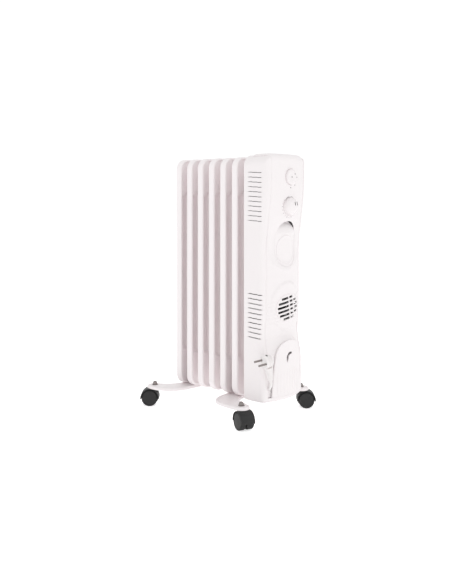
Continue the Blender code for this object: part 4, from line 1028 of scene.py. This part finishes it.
@dataclass
class Knobs:
    """The flush selector disc and the domed thermostat knob."""

    selector: float = 0.573
    selector_radius: float = 0.0185
    thermostat: float = 0.504
    thermostat_radius: float = 0.022

    def build(self, shop: Shop) -> None:
        """Publishes both knobs on their bodies."""
        self._selector(shop)
        self._thermostat(shop)

    def _selector(self, shop: Shop) -> None:
        """A shallow disc with a finger dimple and three raised dots."""
        r, face = self.selector_radius, FRONT.y(0, self.selector) - 0.0004
        profile = [(0, 0.0030), (0.0030, 0.0031), (0.0060, 0.0037), (0.0090, 0.0041), (r * 0.72, 0.0042),
                   (r * 0.86, 0.0040), (r * 0.95, 0.0033), (r * 0.99, 0.0022), (r, 0.0010), (r, -0.0020),
                   (0.0030, -0.0020), (0.0030, -0.0120), (0, -0.0120)]
        disc = turned("selector_dial_top", profile, (0, face, self.selector), (0, -1, 0), 72)
        dots = []
        for x, up in ((0.0, 0.0), (0.0105, 0.0073)):
            centre = (x, face - (0.0029 if x == 0 else 0.0040), self.selector + up)
            dome = [(0.0014, -0.0006), (0.0014, 0.0001), (0.0011, 0.0005), (0, 0.0006)]
            dots.append(turned("dot", dome, centre, (0, -1, 0), 20))
        shop.publish(merged("selector_face", [disc]), "gloss_white", "selector_dial", ["selector_knob"])
        shop.publish(merged("selector_dots", dots), "gloss_white", "selector_dial", finish="ink")

    def _thermostat(self, shop: Shop) -> None:
        """A domed knob with a finely ribbed skirt and a twin-line pointer."""
        r, face = self.thermostat_radius, FRONT.y(0, self.thermostat) - 0.0004
        profile = [(0, 0.0158), (r * 0.15, 0.01565), (r * 0.3, 0.0152), (r * 0.45, 0.0143), (r * 0.6, 0.0129),
                   (r * 0.72, 0.0112), (r * 0.82, 0.0091), (r * 0.90, 0.0066), (r * 0.955, 0.0040),
                   (r * 0.98, 0.0018), (r, 0.0008), (r, -0.0020), (0.0030, -0.0020), (0.0030, -0.0125),
                   (0, -0.0125)]
        dome = turned("dome", profile, (0, face, self.thermostat), (0, -1, 0), 96)
        skirt = ((r * 0.985, 0.0012), (r * 0.985, 0.0030), (r * 0.945, 0.0046), (r * 0.90, 0.0066))
        line = [(x, face - rise, self.thermostat) for x, rise in skirt]
        rib = tube("rib", line, lambda share: 0.00042 * (1 - 0.5 * share), 8)
        ribs = shop.repeat(rib, 60, turn=(0, math.radians(6), 0), centre=(0, 0, self.thermostat))
        shop.publish(merged("thermostat_face", [dome, ribs]), "gloss_white", "thermostat_dial", ["thermostat_knob"])
        marks = []
        for x in (0.0005, 0.0115):
            line = []
            for step in range(9):
                up = 0.0025 + 0.0085 * step / 8
                line.append((x, face - self._height(profile, math.hypot(x, up)) - 0.0001, self.thermostat + up))
            marks.append(tube("mark", line, lambda share: 0.0008, 10))
        shop.publish(merged("thermostat_pointer", marks), "gloss_white", "thermostat_dial", finish="ink")

    def _height(self, profile: Sequence[Flat], radius: float) -> float:
        """How far the dome stands out at a radius."""
        for (near, high), (far, low) in zip(profile, profile[1:]):
            if near <= radius <= far:
                return high + (low - high) * (radius - near) / (far - near)
        return 0.0


@dataclass
class Grip:
    """The recessed grip: a tray with a finger pocket under an arched lip, and a blank badge plate."""

    half: float = GRIP_HALF
    low: float = GRIP_LOW
    high: float = GRIP_HIGH
    pocket: float = 0.4415
    depth: float = 0.026

    def _slope(self) -> float:
        """How far the tray leans forward for each metre of height."""
        return (FRONT.y(self.half, self.high) - FRONT.y(self.half, self.low)) / (self.high - self.low)

    def _lean(self, obj: bpy.types.Object) -> bpy.types.Object:
        """Shears a piece so that it leans with the panel."""
        shear = Matrix.Identity(4)
        shear[1][2] = self._slope()
        shear[1][3] = -self._slope() * self.low
        obj.data.transform(shear)
        return obj

    def build(self, shop: Shop, fascia: Fascia) -> None:
        """Publishes the dished floor with its scoop, the pocket behind it and the plate."""
        front = FRONT.y(self.half, self.low) + 0.001
        back, start = front + self.depth, front + 0.0075
        edge = rounded((-self.half, self.low), (self.half, self.high), self.half * 0.985, 24)
        pocket = self._lean(prism("pocket", edge, start, back, Axis.Y))
        wall = 0.0015
        corner = (self.half - wall, self.high - wall)
        inner = rounded((-self.half + wall, self.pocket - 0.004), corner, 0.0115, 12)
        trim = rounded((-self.half + wall, self.low + wall), corner, 0.0350, 24)
        room = boolean(self._lean(prism("room", inner, start - 0.01, back - 0.002, Axis.Y)),
                       self._lean(prism("trim", trim, start - 0.02, back, Axis.Y)), "INTERSECT")
        boolean(pocket, room)
        boolean(pocket, self._lean(block("hollow", (-0.05, start + 0.002, self.low - 0.02),
                                         (0.05, back + 0.01, self.pocket - 0.006))))
        shop.publish(pocket, "white_plastic", replaces=["grip_insert"], angle=40)
        shop.publish(self._floor(fascia), "white_plastic", angle=50)
        self._plate(shop, fascia)

    def _floor(self, fascia: Fascia) -> bpy.types.Object:
        """The dished floor that carries on the fascia's bowl and dives under the arch as a scoop."""
        columns = []
        half = self.half - 0.0001
        for column in range(49):
            x = half * math.sin(math.pi / 2 * (2 * column / 48 - 1))
            rise = math.sqrt(max(half ** 2 - x ** 2, 0.0))
            low, high = self.low + half - rise, self.high - half + rise
            line = []
            for step in range(61):
                z = low + (high - low) * step / 60
                share = max(0.0, (z - self.pocket) / (self.high - self.pocket))
                dive = 0.0150 * share ** 1.5 * (1 - 0.35 * (x / half) ** 2)
                shelf = -0.0007 * math.exp(-((z - self.pocket) / 0.0011) ** 2) * (1 - ease(abs(x), 0.027, 0.035))
                line.append((x, fascia.surface(x, z) + dive + shelf + 0.0002, z))
            columns.append(line)
        sheet = loft("grip_floor", columns, loop=False)
        thick = sheet.modifiers.new("Wall", "SOLIDIFY")
        thick.thickness, thick.offset = 0.0014, -1.0
        return applied(sheet)

    def _plate(self, shop: Shop, fascia: Fascia) -> None:
        """A blank oval plate with a rounded border, lying on the dished floor."""
        half, low, high = 0.0325, 0.368, 0.4365
        rings = []
        for inset, rise in ((0.0, -0.0004), (0.0, 0.0004), (0.0003, 0.0008), (0.0009, 0.0010), (0.0014, 0.0007),
                            (0.0018, 0.0006), (0.0080, 0.0008), (0.0150, 0.0009), (0.0220, 0.0010)):
            reach = half - inset
            outline = rounded((-reach, low + inset), (reach, high - inset), reach * 0.985, 20)
            rings.append([(x, fascia.surface(x, z) - rise, z) for x, z in outline])
        shop.publish(loft("badge_blank", rings), "gloss_white", replaces=["badge_plate"], angle=45)


@dataclass
class Grille:
    """The round outlet of the fan, with slanted slots in three columns."""

    z: float = OUTLET_Z
    radius: float = 0.0315
    wall: float = 0.0025
    rows: int = 6
    pitch: float = 0.0095
    slot: float = 0.0056
    bars: Flat = (0.0024, 0.0185)
    bar: float = 0.0032
    stretch: float = OUTLET_STRETCH
    slant: float = 8.5

    def _slots(self) -> list[tuple[float, float, float]]:
        """(left, right, offset up) of each slot, before the slant."""
        edges = (-self.radius * self.stretch, *self.bars, self.radius * self.stretch)
        found = []
        for row in range(self.rows):
            offset = (row - (self.rows - 1) / 2) * self.pitch
            reach = math.sqrt((self.radius - 0.0020) ** 2 - offset ** 2) * self.stretch
            for left, right in zip(edges, edges[1:]):
                low, high = max(left + self.bar / 2, -reach), min(right - self.bar / 2, reach)
                if high - low > 0.003:
                    found.append((low, high, offset))
        return found

    def build(self, shop: Shop, fascia: Fascia) -> None:
        """Publishes the grille."""
        rings = []
        for step in range(20):
            reach = self.radius * (step + 0.02) / 19.02
            ring = []
            for side in range(72):
                turn = 2 * math.pi * side / 72
                x, z = reach * self.stretch * math.cos(turn), self.z + reach * math.sin(turn)
                sunk = 0.0010 * ease(reach, self.radius - 0.0012, self.radius)
                ring.append((x, FRONT.y(x, z) - 0.0026 + sunk, z))
            rings.append(ring)
        disc = loft("grille", rings, capped=False)
        thick = disc.modifiers.new("Wall", "SOLIDIFY")
        thick.thickness, thick.offset = self.wall, 1.0
        applied(disc)
        turn = (Matrix.Translation((0, 0, self.z)) @ Matrix.Rotation(-math.radians(self.slant), 4, "Y")
                @ Matrix.Translation((0, 0, -self.z)))
        cutters = []
        for low, high, offset in self._slots():
            under, over = self.z + offset - self.slot / 2, self.z + offset + self.slot / 2
            outline = rounded((low, under), (high, over), 0.0011, 3)
            cutter = prism("slot", outline, FRONT.y(0, self.z) - 0.02, FRONT.y(0, self.z) + 0.02, Axis.Y)
            cutter.data.transform(turn)
            cutters.append(cutter)
        boolean(disc, merged("slots", cutters))
        shop.publish(disc, "white_plastic", replaces=["fan_grille"], angle=38)


# --- Cord store, cord and plug -------------------------------------------------------------------


@dataclass
class Store:
    """The recess with its hub, and the ribbed cover plate with the hook slot."""

    low: float = 0.064
    wall: float = 0.003

    def cover_y(self, x: float) -> float:
        """The cover plate's face at a width."""
        return BACK - 0.0775 + 0.0135 * (x / 0.063) ** 2

    def build(self, shop: Shop) -> None:
        """Publishes the well's lining, the hub and the cover."""
        self._cover(shop)
        hub_end = self.cover_y(0.031) + self.wall + 0.0003
        start = BACK - 0.0395 - 0.0003
        long = start - hub_end
        profile = [(0.0275, 0), (0.0300, 0), (0.0310, 0.0010), (0.0310, long - 0.0010), (0.0302, long),
                   (0.0288, long), (0.0280, long - 0.001), (0.0280, 0.0035), (0, 0.0035), (0, 0)]
        hub = turned("hub", profile, (0, start, 0.125), (0, -1, 0), 64)
        shop.publish(hub, "white_plastic", replaces=["winder_hub"])
        shop.publish(self._bezel(), "white_plastic", angle=45)

    def _bezel(self) -> bpy.types.Object:
        """The curved step behind the plate's edge, sunk beside its foot, that closes the store's mouth."""
        inner = store_outline(-0.0035, self.low - 0.0006)
        outer = store_outline(0.0086, self.low - 0.0006)
        rings = []
        for (x0, z0), (x1, z1) in zip(inner, outer):
            ring = []
            for share in (0.0, 0.25, 0.5, 0.75, 1.0):
                x, z = x0 + (x1 - x0) * share, z0 + (z1 - z0) * share
                sunk = 0.0020 * (1 - ease(z, 0.101, 0.109))
                start, end = self.cover_y(x) + 0.0050 + sunk, FRONT.y(x, z) + 0.0012 + sunk
                ring.append((x, start + (end - start) * ease(share, 0, 1), z))
            rings.append(ring + [(x, y + 0.0014, z) for x, y, z in reversed(ring)])
        return loft("store_bezel", rings)

    def _cover(self, shop: Shop) -> None:
        """The bowed plate: cut from a curved sheet, with ribs on its lower half."""
        rings = []
        for z in [0.050 + 0.004 * step for step in range(38)]:
            xs = [0.066 * (2 * column / 33 - 1) for column in range(34)]
            outer = [(x, self.cover_y(x), z) for x in xs]
            inner = [(x, self.cover_y(x) + self.wall, z) for x in reversed(xs)]
            rings.append(outer + inner)
        cover = loft("cover", rings)
        blank = prism("blank", store_outline(-0.0003, self.low), BACK - 0.11, BACK - 0.03, Axis.Y)
        boolean(cover, blank, "INTERSECT")
        hook = [(-.0105, .137), (-.0055, .145), (-.0045, .153), (.0010, .1575), (.0085, .1575), (.0085, .1630),
                (-.0020, .1630), (-.0090, .1590), (-.0120, .1510)]
        outline = [(point.x, point.y) for point in corners_cut(hook, 0.22)]
        boolean(cover, prism("hook", outline, BACK - 0.11, BACK - 0.06, Axis.Y))
        shop.publish(cover, "white_plastic", replaces=["cord_cover"], angle=40)
        ribs = []
        for index in range(9):
            x = -0.040 + 0.010 * index
            top = 0.119 + 0.012 * (1 - (x / 0.045) ** 2)
            path = [(x, self.cover_y(x) + 0.0004, 0.0655 + (top - 0.0655) * step / 10) for step in range(11)]
            ribs.append(tube("rib", path, self._rib_radius, 10))
        shop.publish(merged("cover_ribs", ribs), "white_plastic")
        path = [(x, self.cover_y(x) + 0.0004, z) for x, z in store_outline(-0.0010, self.low)]
        shop.publish(tube("cover_border", path, lambda share: 0.0009, 10), "white_plastic")

    def _rib_radius(self, share: float) -> float:
        """A rib's radius along its length, tapered at both ends."""
        return 0.0011 * min(1.0, 0.2 + 6 * (1 - share), 0.3 + 9 * share)


@dataclass
class Cord:
    """The mains cord: gland, five turns round the hub, and the lead that comes out to the plug."""

    radius: float = 0.0034
    pitch: float = 0.0070
    inner: float = 0.0365
    outer: float = 0.0435
    hub_z: float = 0.125
    turns: float = 4.72
    steps: int = 40
    back_y: float = -0.17255
    gland: Point = (-0.0435, -0.17405, 0.0766)
    lead: tuple[Point, ...] = (
        (-0.0060, -0.1835, 0.0728), (-0.0270, -0.1842, 0.0738), (-0.0450, -0.1845, 0.0764),
        (-0.0570, -0.1880, 0.0815), (-0.0632, -0.1955, 0.0892), (-0.0661, -0.2010, 0.0985),
        (-0.0689, -0.2015, 0.1081),
    )

    def route(self) -> list[Vector]:
        """The cord's centre line from the gland to the plug's sleeve."""
        points = []
        for step in range(9):
            share = step / 9
            x = self.gland[0] + (-self.inner - self.gland[0]) * ease(share, 0.0, 1.0)
            y = self.gland[1] + (self.back_y - self.gland[1]) * share
            points.append(Vector((x, y, self.gland[2] + (self.hub_z - self.gland[2]) * share)))
        front = self.back_y - 2 * self.pitch
        for step in range(int(self.turns * self.steps) + 1):
            turns = step / self.steps
            angle = math.pi - 2 * math.pi * turns
            layer = ease(turns, 2.55, 3.00)
            radius = self.inner + (self.outer - self.inner) * layer
            radius += 0.0080 * ease(turns, 4.30, self.turns)
            if turns < 3:
                y = self.back_y - self.pitch * min(turns * 2 / 2.75, 2.0)
            else:
                y = front + self.pitch * ease(turns, 3.45, 3.95) * (1 - 0.43 * ease(turns, 4.3, self.turns))
            points.append(Vector((radius * math.cos(angle), y, self.hub_z + radius * math.sin(angle))))
        return points + self._smooth_lead(points[-1])

    def _smooth_lead(self, start: Vector) -> list[Vector]:
        """A curve through the lead's points, beginning where the winding ends."""
        knots = [start + Vector((0.02, 0, 0.002)), start, *[Vector(point) for point in self.lead[1:]]]
        knots.append(knots[-1] * 2 - knots[-2])
        made = []
        for index in range(1, len(knots) - 2):
            a, b, c, d = knots[index - 1:index + 3]
            for step in range(1, 7):
                t = step / 6
                made.append(0.5 * (2 * b + (c - a) * t + (2 * a - 5 * b + 4 * c - d) * t * t
                                   + (3 * b - a - 3 * c + d) * t ** 3))
        return made

    def build(self, shop: Shop, plug: Sequence[bpy.types.Object]) -> None:
        """Publishes the cord and gives the cord gland the cord's finish."""
        points = self.route()
        flex = tube("mains_cord", points, lambda share: self.radius, 16)
        shop.publish(flex, "cord_white", replaces=["cord_inner_lead", "cord_coil", "cord_outer_lead"], angle=60)
        frame["nodes"]["cord_gland"].data.materials[0] = shop.palette.made["cord_white"]


@dataclass
class Plug:
    """The round plug with its grip ribs, its two CAD pins and its tapered sleeve."""

    centre: Point = (-0.0800, -0.2020, 0.1535)
    depth: float = 0.021
    radius: float = 0.0160
    sleeve: tuple[Point, Point] = ((-0.0770, -0.2025, 0.1355), (-0.0690, -0.2015, 0.1085))

    def build(self, shop: Shop) -> list[bpy.types.Object]:
        """Publishes the plug's body and sleeve and returns all that hangs on the cord."""
        turn = Matrix.Rotation(-math.radians(20), 4, "Z") @ Matrix.Rotation(-math.radians(7), 4, "Y")
        turn = turn @ Matrix.Rotation(math.radians(17), 4, "X")
        way = turn @ Vector((-1, 0, 0))
        start = Vector(self.centre) - way * self.depth / 2
        r, d = self.radius, self.depth
        profile = [(0, 0), (r * 0.50, 0.0002), (r * 0.70, 0.0010), (r * 0.80, 0.0024)]
        for step in range(5):
            along = 0.0040 + step * 0.0022
            base = r * (0.84 + 0.03 * step)
            groove = base - 0.0006
            profile += [(base, along), (base, along + 0.0012), (groove, along + 0.0015), (groove, along + 0.0019)]
        profile += [(r * 0.97, d - 0.0050), (r, d - 0.0042), (r, d - 0.0008), (r * 0.96, d), (r * 0.80, d),
                    (r * 0.78, d - 0.0004), (0, d - 0.0004)]
        body = turned("plug_shell", profile, start, way, 56)
        shop.publish(body, "cord_white", replaces=["plug_body"])
        low, high = Vector(self.sleeve[1]), Vector(self.sleeve[0])
        long = (high - low).length
        rings: list[Flat] = [(0.0, -0.0005), (0.0054, -0.0005), (0.0062, 0.0006)]
        for step in range(6):
            along = 0.0014 + step * (long - 0.003) / 6
            share = along / long
            radius = 0.0066 + (0.0098 - 0.0066) * share
            groove = radius - 0.0008
            rings += [(radius, along), (radius, along + 0.0022), (groove, along + 0.0026), (groove, along + 0.0034)]
        rings += [(0.0098, long - 0.001), (0.0092, long + 0.004), (0, long + 0.004)]
        sleeve = turned("plug_relief", rings, low, high - low, 32)
        shop.publish(sleeve, "cord_white", replaces=["plug_sleeve"])
        side = turn @ Vector((0, 0, 1))
        clip = start + way * (d - 0.006) + side * (r * 0.96)
        cap = [(0, -0.0012), (0.0024, -0.0012), (0.0026, 0.0002), (0.0020, 0.0008), (0, 0.0008)]
        mark = turned("plug_mark", cap, clip, side, 24)
        shop.publish(mark, "cord_white", finish="ink")
        for pin in ("plug_pin_rear", "plug_pin_front"):
            frame["nodes"][pin].data.materials[0] = shop.palette.made["dark_metal"]
        return [body, sleeve, mark, frame["nodes"]["plug_pin_rear"], frame["nodes"]["plug_pin_front"]]


# --- Feet and castors ----------------------------------------------------------------------------


@dataclass
class Feet:
    """Two pressed crescent feet with a downturned rim and dished tops."""

    top: float = 0.0510
    sheet: float = 0.0016
    skirt: float = 0.0068
    track: float = 0.230
    sweeps: tuple[tuple[str, int, int, float], ...] = (("rear", 1, 1, 0.060), ("front", -1, 5, 0.078))

    def outline(self, sweep: float, inset: float) -> list[Flat]:
        """The foot's plan, smoothed, set in by inset, with its castor ends towards +Y."""
        half, pad = self.track / 2, 0.0195
        side = [(0.0, -0.0225), (half * 0.28, -0.0222), (half * 0.55, -0.0205), (half * 0.80, -0.0165),
                (half + 0.003, -0.002), (half + 0.015, 0.020), (half + pad, sweep - 0.022)]
        for step in range(13):
            turn = math.radians(180 * step / 12)
            side.append((half + pad * math.cos(turn), sweep + pad * math.sin(turn)))
        side += [(half - pad - 0.004, sweep - 0.006), (half * 0.74, 0.043), (half * 0.52, 0.0280),
                 (half * 0.26, 0.0220), (0.0, 0.0210)]
        points = corners_cut(side + [(-x, y) for x, y in reversed(side[1:-1])], 0.25)
        moved = []
        for index, here in enumerate(points):
            tangent = (points[(index + 1) % len(points)] - points[index - 1]).normalized()
            moved.append(here + Vector((-tangent.y, tangent.x)) * inset)
        return [(point.x, point.y) for point in moved]

    def build(self, shop: Shop) -> None:
        """Publishes both feet."""
        for name, end, gap, sweep in self.sweeps:
            middle = (3.5 - gap - 0.5) * FIN_PITCH
            rings = []
            under = self.top - self.skirt
            levels = ((self.sheet, under), (0.0, under), (0.0, self.top - 0.0022),
                      (0.0006, self.top - 0.0008), (0.0020, self.top), (0.0042, self.top),
                      (0.0062, self.top - 0.0010), (0.0075, self.top - 0.0011))
            for inset, z in levels:
                rings.append([(x, middle + end * y, z) for x, y in self.outline(sweep, inset)])
            inside = [(x, middle + end * y, self.top - 0.0027) for x, y in self.outline(sweep, 0.0075)]
            rings.append(inside)
            rings.append([(x, middle + end * y, self.top - 0.0027) for x, y in self.outline(sweep, self.sheet)])
            rim = loft("foot_rim", rings, round_trip=True, capped=False)
            plate = prism("foot_plate", [(x, middle + end * y) for x, y in self.outline(sweep, 0.0070)],
                          self.top - 0.0027, self.top - 0.0011, Axis.Z)
            parts = [rim, plate]
            for side in (-1, 1):
                pin = (side * self.track / 2, middle + end * sweep, self.top - 0.0012)
                pad = [(0.0045, -0.001), (0.0155, -0.001), (0.0150, 0.0004), (0.0135, 0.0011),
                       (0.0105, 0.0012), (0.0088, 0.0012), (0.0045, 0.0012)]
                parts.append(turned("pad", pad, pin, (0, 0, 1), 40))
            shop.publish(merged(f"foot_{name}", parts), "white_paint", replaces=[f"{name}_foot"], angle=40)


@dataclass
class Castor:
    """One twin-wheel castor: hood, wheels, axle cap and cap nut."""

    name: str
    wheel: float = 0.020
    inner: float = 0.0032
    width: float = 0.0145
    fender: float = 0.0233
    room: float = 0.0211
    cut: float = 0.0175
    web: float = 0.0085
    neck: float = 0.0085

    def _joint(self, kind: str) -> dict:
        """The record's joint of this castor."""
        full = f"{self.name}_{kind}"
        return next(joint for joint in frame["record"]["behaviour"]["joints"] if joint["name"] == full)

    def build(self, shop: Shop) -> None:
        """Publishes the castor's pieces on their bodies."""
        pivot, roll = self._joint("swivel"), self._joint("roll")
        hub = Vector(roll["pos_m"])
        axle = Vector(roll["axis"]).normalized()
        pin = Vector((pivot["pos_m"][0], pivot["pos_m"][1], 0))
        shop.publish(self._hood(hub, axle, pin), "castor_black", f"{self.name}_fork", [f"{self.name}_hood"],
                     shifted=False)
        shop.publish(self._wheels(hub, axle), "castor_black", f"{self.name}_rollers", [f"{self.name}_wheels"],
                     shifted=False)
        shop.publish(self._nut(pin), "chrome", replaces=[f"{self.name}_stud"], finish="dark_metal", shifted=False)

    def _hood(self, hub: Vector, axle: Vector, pin: Vector) -> bpy.types.Object:
        """The fender over both wheels, the web between them and the collared neck."""
        wide, f, room = self.inner + self.width, self.fender, self.room
        section = [(room, -wide + 0.0003), (f - 0.0012, -wide), (f - 0.0003, -wide + 0.0004), (f, -wide + 0.0013),
                   (f, wide - 0.0013), (f - 0.0003, wide - 0.0004), (f - 0.0012, wide), (room, wide - 0.0003)]
        fender = loft("fender", [
            [self._place(hub, axle, radius, turn, along) for radius, along in section]
            for turn in self._arc(hub, f, self.cut)
        ])
        outline = room + 0.0004
        web = loft("web", [
            [self._place(hub, axle, outline, turn, along) for turn in self._arc(hub, outline, self.web)]
            for along in (0.0006 - self.inner, self.inner - 0.0006)
        ])
        bore = turned("bore", [(0, -0.02), (0.0036, -0.02), (0.0036, 0.02), (0, 0.02)], hub, axle, 32)
        neck = turned("neck", [(0, 0.0300), (self.neck, 0.0300), (self.neck, 0.0455), (self.neck - 0.0006, 0.0470),
                               (self.neck - 0.0016, 0.0482), (0, 0.0482)], pin, (0, 0, 1), 40)
        for side in (-1, 1):
            chamber = [(0, self.inner - 0.0007), (room, self.inner - 0.0007), (room, 0.05), (0, 0.05)]
            boolean(neck, turned("room", chamber, hub, axle * side, 60))
        return merged(f"{self.name}_castor_hood", [fender, boolean(web, bore), neck])

    def _arc(self, hub: Vector, radius: float, low: float) -> list[float]:
        """Angles over the wheel between the two places where a radius meets a height."""
        start = math.asin((low - hub.z) / radius)
        return [start + (math.pi - 2 * start) * step / 44 for step in range(45)]

    def _place(self, hub: Vector, axle: Vector, radius: float, turn: float, along: float) -> Vector:
        """A point at a radius and an angle about the axle, and a distance along it."""
        forward = Vector((-axle.y, axle.x, 0))
        return hub + (forward * math.cos(turn) + Vector((0, 0, 1)) * math.sin(turn)) * radius + axle * along

    def _wheels(self, hub: Vector, axle: Vector) -> bpy.types.Object:
        """Both wheels with moulded treads and stepped faces, and the axle between them."""
        made = []
        r, w = self.wheel, self.width
        for side in (-1, 1):
            near = self.inner
            profile = [(0, near), (r - 0.0015, near), (r - 0.0004, near + 0.0005), (r, near + 0.0016),
                       (r, near + w * 0.42), (r - 0.0005, near + w * 0.46), (r - 0.0005, near + w * 0.54),
                       (r, near + w * 0.58), (r, near + w - 0.0026), (r - 0.0006, near + w - 0.0010),
                       (r - 0.0016, near + w - 0.0003), (r - 0.0024, near + w - 0.0003),
                       (r - 0.0030, near + w - 0.0009),
                       (r - 0.0060, near + w - 0.0007), (0.0060, near + w - 0.0003), (0, near + w - 0.0002)]
            made.append(turned("wheel", profile, hub, axle * side, 56))
        reach = self.inner + 0.002
        made.append(turned("axle", [(0, -reach), (0.003, -reach), (0.003, reach), (0, reach)], hub, axle, 24))
        return merged(f"{self.name}_castor_wheels", made)

    def _nut(self, pin: Vector) -> bpy.types.Object:
        """The stud with its domed cap nut and washer."""
        dome = [(0.0038, -0.0125), (0.0038, 0.0003), (0.0074, 0.0003), (0.0076, 0.0006), (0.0074, 0.0011),
                (0.0056, 0.0012), (0.0056, 0.0044), (0.0053, 0.0060), (0.0044, 0.0078), (0.0030, 0.0090),
                (0.0014, 0.0095), (0, 0.0096)]
        place = pin + Vector((0, 0, 0.0510))
        cap = turned("cap", [(0, -0.0125), *dome], place, (0, 0, 1), 40)
        sides = [(0, 0.0012), (0.0062, 0.0012), (0.0062, 0.0046), (0, 0.0046)]
        hexagon = softened(turned("hex", sides, place, (0, 0, 1), 6), 0.0005)
        return merged(f"{self.name}_cap_nut", [cap, hexagon])


# --- Hardware ------------------------------------------------------------------------------------


def log_hardware() -> None:
    """Reports which CAD nodes stay shown as they are, in their own finishes."""
    shown = [name for name, node in frame["nodes"].items() if not node.hide_render]
    LOG.info("CAD nodes still shown: %s", ", ".join(sorted(shown)))


def main() -> None:
    """Builds the studio and every piece in order."""
    logging.basicConfig(level=logging.INFO, format="%(name)s: %(message)s")
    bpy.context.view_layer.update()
    Studio().build()
    palette = Palette()
    palette.dress_frame()
    shop = Shop(palette)
    plug = Plug().build(shop)
    Cord().build(shop, plug)
    Fins().build(shop)
    Housing().build(shop)
    fascia = Fascia()
    fascia.build(shop)
    Knobs().build(shop)
    Grip().build(shop, fascia)
    Grille().build(shop, fascia)
    Store().build(shop)
    Feet().build(shop)
    for name in CASTORS:
        Castor(name).build(shop)
    log_hardware()


if __name__ == "__main__":
    main()
